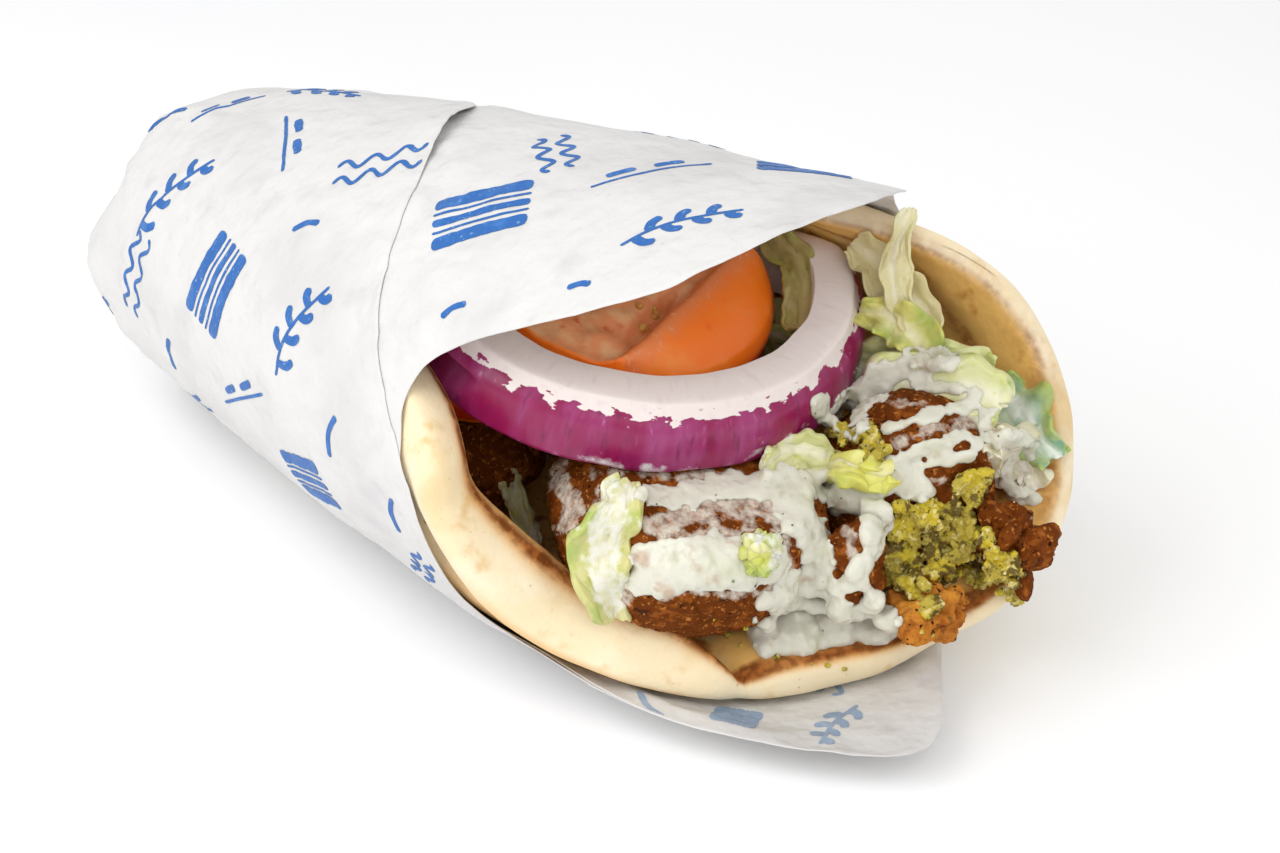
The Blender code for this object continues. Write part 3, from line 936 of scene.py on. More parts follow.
def bread_material(settings):
    """Soft griddled pita bread: pale floury skin outside, tan and spotted brown on the face inside."""
    material, tree, shader = new_material(
        "griddled pita bread", 0.72, Subsurface_Weight=0.12, Subsurface_Radius=(1.0, 0.5, 0.25),
        Subsurface_Scale=2.0 * MM, Specular_IOR_Level=0.25,
    )
    inside, rim, golden = (marked(tree, name) for name in ("inside", "rim", "golden"))
    colour = mottle(
        tree, settings.crumb,
        (
            (11.0, 0.45, 0.75, "#F8ECD2"),
            (5.0, 0.56, 0.78, "#E2C18A"), (16.0, 0.52, 0.7, "#E8CFA0"),
            (60.0, -1.0, -0.5, settings.inner, inside),
            (9.0, 0.52, 0.75, "#EBCB93", inside),
            (8.0, 0.54, 0.66, settings.toast, inside),
            (6.0, 0.0, 0.35, "#EAB468", golden),
            (2.5, -0.3, 0.1, "#B0662A", rim),
            (1.8, 0.35, 0.6, "#7C4416", rim),
            (1.1, 0.68, 0.8, "#C9934F"),
        ),
    )
    coat(tree, shader, colour, ((3.0, 0.25), (0.9, 0.08)))
    return material


# What the bread's points are marked with, from their place on the shell: the direction, the share of the
# length, the depth in the wall and how far beyond the edge they lie.


def face_inside(direction, share, depth, beyond):
    """1 on the griddled face inside the fold."""
    return smooth_step(depth, 0.8, 1.0)


def brown_line(direction):
    """How deep in the lip's wall its browned line runs: further out where the inside is turned away."""
    return 0.95 - 0.11 * (1.0 - smooth_step(direction, 200.0, 246.0))


def golden_rim(direction, share, depth, beyond):
    """Golden beside the browned line, and on the outside of the near left lobe."""
    beside_line = 0.85 * near(depth, brown_line(direction) - 0.05, 0.14) * smooth_step(share, LIP_SHARE, 1.0)
    lobe = 0.7 * near(direction, 222.0, 20.0) * (1.0 - smooth_step(depth, 0.0, 0.12))
    lobe *= smooth_step(share, 0.9, 0.96)
    near_side = 1.0 - smooth_step(abs(direction - NEAREST_LIP), 50.0, 80.0)
    return near_side * beside_line + lobe


def browned_rim(direction, share, depth, beyond):
    """Brown along the near lip's inner edge, and in a streak and a tinge on the far one."""
    near_side = 0.25 + 0.75 * (1.0 - smooth_step(abs(direction - NEAREST_LIP), 65.0, 90.0))
    far_side = smooth_step(math.cos(math.radians(direction - 15.0)), 0.6, 0.9)
    blotch = 0.75 + 0.5 * noise.noise(Vector((math.radians(direction) * 6.0, 0.0, 0.0)))
    width = 0.085 + 0.06 * near(direction, 250.0, 12.0)
    band = 1.3 * near(depth, brown_line(direction) + 0.01, width)
    tinge = 0.12 * smooth_step(depth, 0.15, 0.6) * smooth_step(share, 0.97, 1.0)
    streak = near(share, 0.935 + 0.01 * blotch, 0.012) * smooth_step(depth, 0.85, 1.0)
    line = near_side * blotch * band * smooth_step(share, LIP_SHARE, 1.0)
    return line + far_side * blotch * (0.6 * streak + tinge)


class FoldBread(bpy.types.Operator):
    """Folds the pita bread round the fillings, with a thick rounded lip"""

    bl_idname = "pita.fold_bread"
    bl_label = "Fold the bread"

    def execute(self, context):
        settings = context.scene.pita_bread
        unevenness = settings.unevenness / MM

        rows = shell_rows(104, 26, PITA_THICKNESS, near_end=1.0, squareness=0.6)
        piece = shell_piece(
            "pita_bread", 300, rows, lambda d: round_curve(PITA_LIP, d),
            PAPER_GAP + PITA_GAP, PITA_THICKNESS, CLOSED_END_X + PITA_END_INSET,
            lambda x, d, inset: pita_point(x, d, inset, unevenness),
            (("inside", face_inside), ("rim", browned_rim), ("golden", golden_rim)),
        )
        finish_piece(piece, bread_material(settings), "bread", "pita")
        return {"FINISHED"}


# ---------------------------------------------------------------- onion and tomato


class SaladSettings(bpy.types.PropertyGroup):
    onion_skin: colour_property("Onion skin", "Purple skin of a red onion", "#90104F")
    onion_flesh: colour_property("Onion flesh", "White cut flesh of a red onion", "#EDE1DD")
    tomato_flesh: colour_property("Tomato flesh", "Firm outer flesh of a ripe tomato", "#FF7C1A")
    tomato_skin: colour_property("Tomato skin", "Skin of a ripe tomato", "#DC3418")


def slice_axes():
    """Two axes across the ring and the tomato slices: towards the mouth, and towards +Y."""
    forward = Vector((0.0, 1.0, 0.0)).cross(RING_NORMAL).normalized()
    return forward, RING_NORMAL.cross(forward)


def ring_point(angle, radius, height):
    """A point of the onion ring: an angle round it, a distance from its axis, a height on its axis."""
    forward, side = slice_axes()
    back = smooth_step(math.cos(angle - math.radians(RING_BACK)), 0.25, 1.0)
    radius -= RING_SQUEEZE * back
    point = RING_CENTRE + (forward * math.cos(angle) + side * math.sin(angle)) * radius
    point += RING_NORMAL * height - Vector((0.0, 0.0, RING_SAG * back))
    return inside_pita(point)


def onion_material(settings):
    """Fresh red onion: a thin glossy purple skin with streaks, torn back from the wet white cut flesh."""
    material, tree, shader = new_material(
        "red onion", 0.28, Subsurface_Weight=0.15, Subsurface_Radius=(1.0, 0.8, 0.9),
        Subsurface_Scale=1.5 * MM, Specular_IOR_Level=0.5,
    )
    uv = add_node(tree, "ShaderNodeTexCoord").outputs["UV"]
    streaks = add_node(tree, "ShaderNodeMapping", {"Vector": uv, "Scale": (0.22, 0.012, 1.0)}).outputs[0]
    skin = mottle(
        tree, settings.onion_skin,
        ((4.0, 0.4, 0.75, "#A23C78"), (1.3, 0.5, 0.8, "#741244"), (1.0, 0.62, 0.8, "#B5699A")), streaks,
    )
    flesh = mottle(
        tree, settings.onion_flesh, ((1.6, 0.5, 0.85, "#E3D3D2"), (0.9, 0.6, 0.85, "#F6F0EC")), streaks
    )
    torn = add_node(tree, "ShaderNodeMapping", {"Vector": uv, "Scale": (0.22, 0.05, 1.0)}).outputs[0]
    ragged = add_node(
        tree, "ShaderNodeTexNoise", {"Vector": torn, "Scale": 1.0 / (3.2 * MM), "Detail": 4.0}
    )
    border = add_node(
        tree, "ShaderNodeMath", {0: ragged.outputs[0], 1: 0.6, 2: marked(tree, "skin")},
        operation="MULTIPLY_ADD",
    )
    covered = add_node(
        tree, "ShaderNodeMapRange", {"Value": border.outputs[0], "From Min": 0.47, "From Max": 0.485}
    )
    colour = add_node(tree, "ShaderNodeMix", {0: covered.outputs[0], 6: flesh, 7: skin}, data_type="RGBA")
    coat(tree, shader, smear_over(tree, colour.outputs[2], "#E6E0E4"), ((2.4, 0.10), (0.8, 0.03)), streaks)
    return material


class SliceOnion(bpy.types.Operator):
    """Cuts the red onion ring, wider below, with its skin torn at the upper edge"""

    bl_idname = "pita.slice_onion"
    bl_label = "Slice the onion"

    def execute(self, context):
        corner = 0.7
        outline = (
            (0.0, -corner), (-corner, 0.0), (-RING_WALL / 2, 0.15), (corner - RING_WALL, 0.0),
            (-RING_WALL, -corner), (-RING_WALL, -RING_HEIGHT / 2), (-RING_WALL, corner - RING_HEIGHT),
            (corner - RING_WALL, -RING_HEIGHT), (RING_FLARE - 1.0, -RING_HEIGHT),
            (RING_FLARE, -RING_HEIGHT * 0.8), (RING_FLARE * 0.75, -RING_HEIGHT * 0.38),
            (0.25 * RING_FLARE, -0.18 * RING_HEIGHT), (0.0, -corner),
        )

        def place(u, v):
            angle = 2.0 * math.pi * (u % 1.0)
            out, height = along(outline, v % 1.0)
            radius = RING_RADIUS + 0.5 * math.sin(2.0 * angle + 0.6) + 0.3 * math.sin(3.0 * angle)
            around = Vector((math.cos(angle), math.sin(angle), 0.0)) * 3.0
            height += 0.35 * noise.noise(around + Vector((0.0, 0.0, 3.0)))
            out += 0.3 * noise.noise(around * 1.7 + Vector((0.0, 0.0, height * 0.08)))
            return ring_point(angle, radius + out, height)

        def skin(u, v):
            """0 on the cut faces and the inside, rising down the outer side."""
            height = along(outline, v % 1.0)[1]
            return -height / RING_HEIGHT if v > 0.68 or v < 0.02 else 0.0

        piece = grid_piece("red_onion_ring", 260, 64, place, (("skin", skin),))
        finish_piece(piece, onion_material(context.scene.pita_salad), "red_onion", "onion_ring")
        return {"FINISHED"}


# Tomato slices: (name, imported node, middle of the top face, radius, thickness, start, sweep).
TOMATOES = (
    ("tomato_slice_upper", "tomato_upper", (17.5, 3.5, 60.5), 23.8, 9.0, -155.0, 215.0),
    ("tomato_slice_lower", "tomato_lower", (-3.0, -10.0, 50.0), 18.5, 8.0, 0.0, 360.0),
)
WALL_START = Vector((17.0, -17.0))  # where the tomato's firm outer wall begins: towards the mouth, across
WALL_OUT = Vector((0.971, 0.238))
WALL_RISE = 2.2
WALL_DROP = 4.6
POCKET_DEPTH = 3.4
ARC_SHARE, CUT_SHARE = 0.72, 0.28  # how a half slice's outline is shared by its round and its straight side
TOP_SHARE, SIDE_SHARE = 0.6, 0.2  # how a slice's rows are shared by its top and its side, and so its bottom


def tomato_material(settings):
    """Ripe tomato: a smooth glossy orange outer wall, grainy pink flesh, and dark wet gel in the pocket, with
    pale highlights painted on the gel.
    """
    material, tree, shader = new_material(
        "ripe tomato", 0.2, Subsurface_Weight=0.2, Subsurface_Radius=(1.0, 0.3, 0.1),
        Subsurface_Scale=3.0 * MM, Specular_IOR_Level=0.4,
    )
    gel, flesh, skin = (marked(tree, name) for name in ("gel", "flesh", "skin"))
    colour = mottle(
        tree, settings.tomato_flesh,
        (
            (9.0, 0.45, 0.8, "#FF9C44"), (3.0, 0.6, 0.85, "#F5601A"),
            (60.0, -1.0, -0.5, "#F0884E", flesh), (0.9, 0.55, 0.75, "#F4AE80", flesh),
            # The pale clouds on the gel are painted highlights of the wet gel.
            (60.0, -1.0, -0.5, "#EE9A66", gel), (4.0, 0.45, 0.7, "#F5BC88", gel),
            (2.5, 0.6, 0.8, "#D65A2C", gel), (60.0, -1.0, -0.5, settings.tomato_skin, skin),
        ),
    )
    coat(tree, shader, colour, ((3.0, 0.12), (0.7, 0.04)))
    return material


def tomato_point(centre, radius, thickness, start, sweep, u, v):
    """(point, gel, flesh, skin) of a slice: v runs from the middle of its top face over the side to the
    bottom. Its seed pocket lies behind a grainy ridge, and the firm wall slopes from that to the skin."""
    forward, side = slice_axes()
    whole = sweep >= 360.0
    angle = math.radians(start + sweep * (u if whole else min(u / ARC_SHARE, 1.0)))
    edge = Vector((math.cos(angle), math.sin(angle))) * radius
    if not whole and u > ARC_SHARE:
        corners = map(math.radians, (start + sweep, start))
        ends = [Vector((math.cos(corner), math.sin(corner))) * radius for corner in corners]
        edge = ends[0].lerp(ends[1], (u - ARC_SHARE) / CUT_SHARE)
    hub = Vector((0.0, 0.0)) if whole else Vector((radius * 0.25, -radius * 0.25))
    reach = min(v / TOP_SHARE, 1.0, (1.0 - v) / SIDE_SHARE)
    turn = min(max((v - TOP_SHARE) / SIDE_SHARE, 0.0), 1.0)
    on_top = 1.0 if turn == 0.0 else 0.0
    flat = hub.lerp(edge, reach)
    bulge = 1.0 + (1.1 * math.sin(math.pi * turn)) / radius
    beyond = (flat - WALL_START).dot(WALL_OUT)
    down_wall = max(beyond, 0.0) / max(beyond + radius - flat.length, 0.1)
    across = (flat - WALL_START).dot(Vector((-WALL_OUT.y, WALL_OUT.x)))
    slit = near(beyond, -2.6 + 0.5 * math.sin(across / 3.0), 1.6) * smooth_step(across, 3.0, 8.0)
    slit *= 1.0 - smooth_step(across, 19.0, 24.0)
    height = WALL_RISE * smooth_step(beyond, -2.0, 0.5) - WALL_DROP * down_wall**1.8
    height -= POCKET_DEPTH * slit * (0.6 + 0.4 * smooth_step(across, 8.0, 19.0))
    height += 0.9 * noise.noise(Vector((flat.x, flat.y, 0.0)) / 4.0) * (1.0 - smooth_step(beyond, -1.0, 0.0))
    depth = thickness * turn - height * (1.0 - turn)
    point = Vector(centre) + (forward * flat.x + side * flat.y) * bulge - RING_NORMAL * depth
    gel = on_top * (1.0 - smooth_step(beyond, -1.6, -0.6))
    flesh = on_top * near(beyond + 0.8 * noise.noise(Vector((across / 2.0, 0.0, 5.0))), 0.8, 1.9)
    skin = smooth_step(turn, 0.3, 0.6) * (1.0 - smooth_step(turn, 0.8, 0.95))
    skin *= 0.0 if not whole and u > ARC_SHARE else 1.0
    return inside_pita(point), gel, flesh, skin


class SliceTomato(bpy.types.Operator):
    """Cuts the two tomato slices, with seed pockets, and sprinkles their seeds"""

    bl_idname = "pita.slice_tomato"
    bl_label = "Slice the tomato"

    def execute(self, context):
        settings = context.scene.pita_salad
        material = tomato_material(settings)
        seeds = []
        draw = random.Random(11)
        for name, node, centre, radius, thickness, start, sweep in TOMATOES:
            form = (centre, radius, thickness, start, sweep)
            marks = [
                (mark, lambda u, v, k=k: tomato_point(*form, u, v)[k])
                for k, mark in enumerate(("gel", "flesh", "skin"), start=1)
            ]
            piece = grid_piece(name, 150, 90, lambda u, v: tomato_point(*form, u, v)[0], marks)
            finish_piece(piece, material, "tomato", node)
            for _ in range(14):
                point, gel, _, _ = tomato_point(*form, draw.random(), draw.uniform(0.05, 0.55))
                if gel > 0.6:
                    seeds.append((to_frame(point + RING_NORMAL * 0.2), draw.uniform(0.6, 0.9)))
        piece = lump_cluster("tomato_seeds", seeds, 2, draw)
        seed_material, tree, shader = new_material("wet tomato seed", 0.2, Subsurface_Weight=0.2)
        colour = mottle(tree, "#E3A54F", ((1.2, 0.45, 0.7, "#D77B2E"),))
        tree.links.new(colour, shader.inputs["Base Color"])
        finish_piece(piece, seed_material, "tomato")
        shade_smooth(piece)
        return {"FINISHED"}


# ---------------------------------------------------------------- falafel


class FalafelSettings(bpy.types.PropertyGroup):
    grain: size_property("Crust grain", "How far the fried crust's grains stand out", 0.55)
    crust: colour_property("Crust", "Deep-fried crust", "#673106")
    golden: colour_property("Golden crust", "Thin broken bits of the crust, fried golden", "#B9742A")
    crumb: colour_property("Crumb", "Chickpea and herb crumb inside", "#BDAA42")


# Falafel: (name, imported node, centre, radii, depth of the lumps, fineness, tucked under the ring, seed).
FALAFELS = (
    ("falafel_ball_front", "falafel_front", (41.5, -7.0, 28.0), (22.5, 21.0, 16.5), 1.6, 7, True, 1),
    ("falafel_ball_rear", "falafel_rear", (-5.0, -12.0, 26.0), (15.0, 15.0, 13.0), 1.6, 6, True, 2),
    ("falafel_ball_broken", "falafel_broken", (61.3, 22.8, 30.1), (14.8, 13.5, 15.8), 1.6, 6, False, 3),
    ("falafel_bit_middle", "falafel_middle", (67.0, 3.5, 26.0), (5.0, 5.0, 8.0), 1.6, 5, False, 4),
    ("falafel_bit_right", "falafel_crust_right", (81.0, 26.0, 26.0), (5.0, 5.0, 6.6), 4.2, 6, False, 5),
    ("falafel_bit_low", "falafel_chip", (76.0, 12.0, 18.0), (6.0, 6.0, 3.6), 3.0, 6, False, 9),
)
GOLDEN_BITS = ("falafel_bit_low",)
LARGEST_BIT = 8.0
BIT_GRAIN = 1.6  # a bit's crust is this many times as coarse as a ball's
BROKEN_FACE = Vector((8.5, -5.0, 1.0))
BREAK_ROUGHNESS = 6.0
SEED_STEP = Vector((3.7, 1.3, 2.1))


def lumpy(direction, radii, lumps, seed):
    """A point of an uneven ball of three radii, in a direction from its centre."""
    lump = lumps * noise.noise(direction * 1.6 + SEED_STEP * seed)
    return Vector([direction[k] * (radii[k] + lump) for k in range(3)])


def break_off(point, face, seed):
    """The point, set back to the rough broken side where it lies beyond that."""
    beyond = max(point.dot(face.normalized()) - face.length, 0.0)
    rough = BREAK_ROUGHNESS / 15.0 * noise.noise(point * 0.16 + SEED_STEP * seed)
    return point - face.normalized() * beyond * (1.0 + rough)


def crust_grain(point, grain):
    """Coarse fried grain: rounded grits with pits between them, and a few deeper cracks."""
    grits = noise.voronoi(point / 1.7)[0][0]
    fine = noise.voronoi(point / 0.8)[0][0]
    crack = max(0.0, 0.12 - abs(noise.noise(point / 9.0))) / 0.12
    return grain * (0.55 - grits + 0.45 * (0.5 - fine) + 0.7 * noise.noise(point / 3.5) - 1.1 * crack**2)


def crust_material(name, base, browned, pits):
    """Deep-fried falafel crust: dry and gritty, with paler orange grits and near-black pits."""
    material, tree, shader = new_material(name, 0.8, Specular_IOR_Level=0.1)
    colour = mottle(
        tree, base,
        (
            (6.0, 0.5, 0.75, browned), (2.0, 0.5, 0.7, "#96521A"), (3.2, 0.6, 0.74, pits),
            (0.8, 0.58, 0.7, "#B57436"), (0.9, 0.62, 0.7, "#2C1206"),
        ),
    )
    coat(tree, shader, smear_over(tree, colour, "#D9CFC0"), ((1.1, 0.3), (0.45, 0.12)))
    return material


def crumb_material(settings):
    """Moist chickpea crumb: yellow-green grits with herb-green and pale bits, and painted shade between them,
    matte.
    """
    material, tree, shader = new_material(
        "chickpea and herb crumb", 0.6, Subsurface_Weight=0.15, Subsurface_Radius=(1.0, 0.8, 0.3),
        Subsurface_Scale=1.0 * MM, Specular_IOR_Level=0.35,
    )
    colour = mottle(
        tree, settings.crumb,
        (
            # The dark olive clouds, 3.2 mm across, are painted shade of the gaps between the grits.
            (4.0, 0.47, 0.56, "#D0BA34"), (3.2, 0.52, 0.6, "#6E5A1E"), (1.3, 0.54, 0.66, "#E6D68A"),
            (0.9, 0.62, 0.7, "#4E4A18"),
        ),
    )
    coat(tree, shader, colour, ((0.8, 0.5), (0.35, 0.2)))
    return material


class FryFalafel(bpy.types.Operator):
    """Fries the falafel balls, and the torn bits of the broken one"""

    bl_idname = "pita.fry_falafel"
    bl_label = "Fry the falafel"

    def execute(self, context):
        settings = context.scene.pita_falafel
        brown = crust_material("deep-fried falafel crust", settings.crust, "#854310", "#3B1804")
        golden = crust_material("golden falafel crust", settings.golden, "#CE8C34", "#84481A")
        grain = settings.grain / MM
        for name, node, centre, radii, lumps, fineness, tucked, seed in FALAFELS:
            bpy.ops.object.select_all(action="DESELECT")
            bpy.ops.mesh.primitive_ico_sphere_add(subdivisions=fineness, radius=1.0)
            piece = context.object
            piece.name = piece.data.name = name
            coarser = 1.0 if radii[0] > LARGEST_BIT else BIT_GRAIN
            for vertex in piece.data.vertices:
                out = vertex.co.normalized()
                point = lumpy(out, radii, lumps, seed)
                if node == "falafel_broken":
                    point = break_off(point, BROKEN_FACE, seed)
                point += out * crust_grain(point + Vector(centre), grain * coarser)
                point = inside_pita(point + Vector(centre))
                vertex.co = to_frame(under_ring(point) if tucked else point)
            shade_smooth(piece)
            finish_piece(piece, golden if name in GOLDEN_BITS else brown, "falafel", node)
        return {"FINISHED"}


# The crumb of the broken falafel, as strokes on the view: ((right, up) points, half width, share).
CRUMB_STROKES = (
    (((41.8, -16.1), (47.1, -16.1), (51.8, -17.4)), 3.5, 1.0),
    (((39.8, -20.8), (44.5, -22.8), (49.8, -22.1)), 3.0, 0.9),
    (((51.8, -11.4), (53.9, -8.7)), 2.3, 1.2),
    (((54.5, -18.8), (57.6, -22.1), (59.6, -24.5)), 2.9, 1.3),
    (((50.5, -19.5), (55.5, -24.5)), 2.2, 1.0),
    (((38.6, -14.6), (39.8, -19.0)), 1.8, 1.0),
    (((44.5, -25.5), (46.5, -28.5)), 1.9, 1.3),
    (((42.4, -13.7), (48.5, -13.7)), 2.0, 0.8),
    (((33.4, -1.0), (37.1, -2.0), (38.1, -4.3)), 1.7, 0.8),
)
LOOSE_CRUMBS = (
    (((40.0, -31.0), (47.0, -30.5), (55.0, -27.5), (63.0, -21.0)), 3.2, 1.0),
    (((14.0, -33.5), (22.0, -38.0), (32.0, -38.5)), 2.4, 1.0),
)


CRUMB_HOSTS = (
    "falafel_ball_broken", "falafel_bit_right", "falafel_bit_low", "falafel_ball_front", "pita_bread",
)
CRUMB_VOXEL = 0.28


class BreakFalafel(bpy.types.Operator):
    """Breaks the right-hand falafel open, so that its green crumb shows"""

    bl_idname = "pita.break_falafel"
    bl_label = "Break the falafel"

    def execute(self, context):
        settings = context.scene.pita_falafel
        draw = random.Random(5)
        tree = surfaces_of([bpy.data.objects[name] for name in CRUMB_HOSTS])
        lumps = []
        for place, normal, _ in spread(tree, CRUMB_STROKES, 0.95, 1.2, draw):
            heap = 0.5 + noise.noise(place / MM / 4.0)
            out = normal * 0.5 + TOWARDS_VIEW * 0.5
            lumps.append((place + out * (2.4 * heap + draw.uniform(-1.0, 1.1)) * MM, draw.uniform(0.35, 1.3)))
        for place, normal, _ in spread(tree, LOOSE_CRUMBS, 2.6, 2.0, draw):
            if draw.random() < 0.4:
                lumps.append((place + normal * 0.1 * MM, draw.uniform(0.25, 0.7)))
        piece = lump_cluster("falafel_crumb", lumps, 2, draw)
        apply_modifier(piece, "REMESH", mode="VOXEL", voxel_size=CRUMB_VOXEL * MM)
        roughen(piece, 1.3, 0.8)
        roughen(piece, 0.6, 0.8)
        shade_smooth(piece)
        finish_piece(piece, crumb_material(settings), "falafel")
        return {"FINISHED"}


# ---------------------------------------------------------------- lettuce

# Torn leaves: (name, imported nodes, spine, half width, ruffle, waves, thickness, green share, seed). A spine
# point is (right, up, nearer) in millimetres from the view's middle.
LEAVES = (
    ("lettuce_leaf_front", ("lettuce_front",),
     ((-1.6, -9.0, 31), (-3.6, -13.6, 41.5), (-6.0, -19.6, 42), (-6.4, -25.0, 39), (-4.2, -31.0, 30)),
     4.8, 1.5, 2.2, 1.5, 0.45, 1),
    ("lettuce_leaf_centre", ("lettuce_centre",),
     ((28.5, -8.0, 27), (32.0, -6.6, 30.5), (37.0, -7.6, 32.5), (41.5, -7.0, 31)),
     2.7, 0.9, 1.6, 2.6, 0.3, 2),
    ("lettuce_leaf_pale", (),
     ((20.0, -6.4, 24), (25.0, -4.6, 25), (31.0, -5.6, 27)), 3.2, 0.9, 1.7, 1.2, 0.1, 8),
    ("lettuce_leaf_right", ("lettuce_right",),
     ((54.5, 7.0, 18), (58.6, 4.0, 20.5), (62.5, 0.0, 21.5), (67.5, -5.5, 20)), 5.6, 1.9, 3.6, 0.8, 0.9, 3),
    ("lettuce_leaf_back", ("lettuce_back",),
     ((45.5, 15.5, 10), (42.6, 20.0, 11), (41.4, 25.5, 12), (42.4, 31.0, 12), (43.8, 35.5, 11)),
     2.4, 1.0, 2.1, 0.6, 0.0, 4),
    ("lettuce_behind_ring", (),
     ((34.0, 29.5, 5), (38.5, 25.5, 7), (43.5, 20.5, 9), (46.0, 14.5, 10.5)), 4.2, 1.3, 2.2, 0.6, 0.1, 14),
    ("lettuce_ruffle", (),
     ((35.5, 18.5, 8), (40.0, 17.5, 10.5), (44.5, 14.0, 12), (46.5, 9.5, 12)), 3.8, 1.9, 3.4, 0.6, 0.5, 12),
    ("lettuce_in_ring", (),
     ((21.0, 32.0, -2.5), (26.0, 25.0, 3.5), (25.6, 15.5, 9.0)), 3.7, 0.7, 1.7, 0.8, 0.3, 13),
    ("lettuce_heap_top", (),
     ((34.5, 8.0, 3), (41.0, 11.0, 6), (49.0, 11.5, 10), (56.0, 8.5, 14)), 5.0, 1.6, 2.4, 1.6, 0.35, 5),
    ("lettuce_heap_low", (),
     ((35.0, 3.0, 7), (42.0, 6.0, 11), (51.0, 5.5, 15), (58.5, 2.5, 18)), 5.4, 1.4, 2.1, 2.2, 0.2, 6),
    ("lettuce_chunk_right", (),
     ((56.5, -2.0, 21), (60.5, -5.0, 24.5), (63.5, -9.5, 24.5)), 4.6, 1.1, 1.3, 3.4, 0.1, 7),
    ("lettuce_cube", (),
     ((17.4, -19.8, 34.8), (19.6, -20.4, 35.8), (21.8, -20.6, 35.2)), 2.7, 0.2, 1.0, 2.6, 0.7, 9),
    ("lettuce_strip_left", (),
     ((-21.5, -7.0, 0), (-19.8, -12.5, -4), (-17.0, -19.5, -9)), 1.9, 0.8, 1.6, 0.9, 0.05, 10),
)


LEAF_LIFT = 2.6  # the most that the middle of a leaf lies above what is under it
LYING_FROM = 20.0  # leaves that come nearer than this lie on the falafel; the others are held by the bread

# Tints of single leaves: body, blotches and rib.
LEAF_TINTS = {
    "lettuce_leaf_centre": ("#D9D66A", "#C9CE3C", "#ECE9B4"),
    "lettuce_leaf_right": ("#B9CDB4", "#7FA886", "#E4EADF"),
    "lettuce_leaf_front": ("#CFC987", "#B5BC4C", "#D9D4A8"),
    "lettuce_ruffle": ("#D9D27A", "#BEC24A", "#E9E4B6"),
    "lettuce_leaf_back": ("#DDD3A0", "#C3BF72", "#EAE4C4"),
    "lettuce_behind_ring": ("#D6C996", "#BDB56A", "#E6DDB6"),
    # The leaf deep in the onion ring's hole has a dark olive-brown tint: partly its own colour, partly
    # painted shade of the hole.
    "lettuce_in_ring": ("#9C8B4E", "#7C7A38", "#B9A86E"),
    "lettuce_chunk_right": ("#E3DCC0", "#C9CE4C", "#EDE6D6"),
    "lettuce_cube": ("#D3D272", "#BFC744", "#E6E3A6"),
}

# The shredded lettuce round its core.
CORE_START_X = -74.0
CORE_LENGTH = 44.0
SHREDS = 46
SHREDS_BEHIND = 26  # so many of them lie round the core, and the others under the ring


class LettuceSettings(bpy.types.PropertyGroup):
    pale: colour_property("Pale leaf", "Inner leaves of an iceberg lettuce", "#D6D79A")
    green: colour_property("Green margin", "Outer edge of the leaves", "#A8B95E")


def in_view(right, up, nearer):
    """The point right and up of the view's middle, and nearer than it by some millimetres."""
    scale = 1.0 - nearer / VIEW_DISTANCE
    return VIEW_TARGET + (VIEW_RIGHT * right + VIEW_UP * up) * scale + TOWARDS_VIEW * nearer


def settled(tree, right, up, nearer):
    """The point, let down onto the piece under it if it would hang in the air above that."""
    place = drop(tree, right, up)[0]
    if place is not None:
        nearer = min(nearer, (place / MM - BODY_TO_FRAME - VIEW_TARGET).dot(TOWARDS_VIEW) + LEAF_LIFT)
    return in_view(right, up, nearer)


def leaf_piece(name, spine, facing, half_width, ruffle, waves, thickness, seed, grid=(60, 26)):
    """A torn leaf along a spine: uneven ends and sides, ruffled margins and a blistered face."""

    def torn(u, v, size):
        return noise.noise(Vector((u * size, v * size, seed * 2.7)))

    def place(u, v):
        across = 2.0 * v - 1.0
        from_middle = 2.0 * u - 1.0
        u = min(max(u + 0.16 * torn(from_middle, across, 1.3) * abs(from_middle) ** 3, 0.0), 1.0)
        middle = along(spine, u)
        ahead = (along(spine, min(u + 0.02, 1.0)) - along(spine, max(u - 0.02, 0.0))).normalized()
        side = ahead.cross(Vector(facing)).normalized()
        normal = side.cross(ahead)
        taper = 0.3 + 0.7 * math.sin(math.pi * min(max((from_middle + 1.0) / 2.0, 0.02), 0.98)) ** 0.4
        edge = math.copysign(1.0, across)
        width = half_width * taper * (0.95 + 0.55 * torn(u, edge, 3.0) + 0.3 * torn(u, edge, 9.0))
        wave = math.sin(2.0 * math.pi * waves * u + seed + 1.3 * edge) + 0.6 * torn(u, edge, 7.0)
        up = 0.2 * half_width * across**2 + ruffle * wave * abs(across) ** 1.5
        up += 0.7 * torn(u * 1.5, across * 0.7, 3.0) + 0.35 * torn(u * 1.5, across * 0.7, 7.0)
        return middle + side * across * width + normal * up

    piece = grid_piece(
        name, *grid, place,
        (
            ("rib", lambda u, v: near(v, 0.4 + 0.1 * torn(u, 0.0, 2.0), 0.12)),
            ("margin", lambda u, v: abs(2.0 * v - 1.0)),
        ),
    )
    apply_modifier(piece, "SOLIDIFY", thickness=thickness * MM, offset=0.0)
    apply_modifier(piece, "SUBSURF", levels=1, render_levels=1)
    return piece


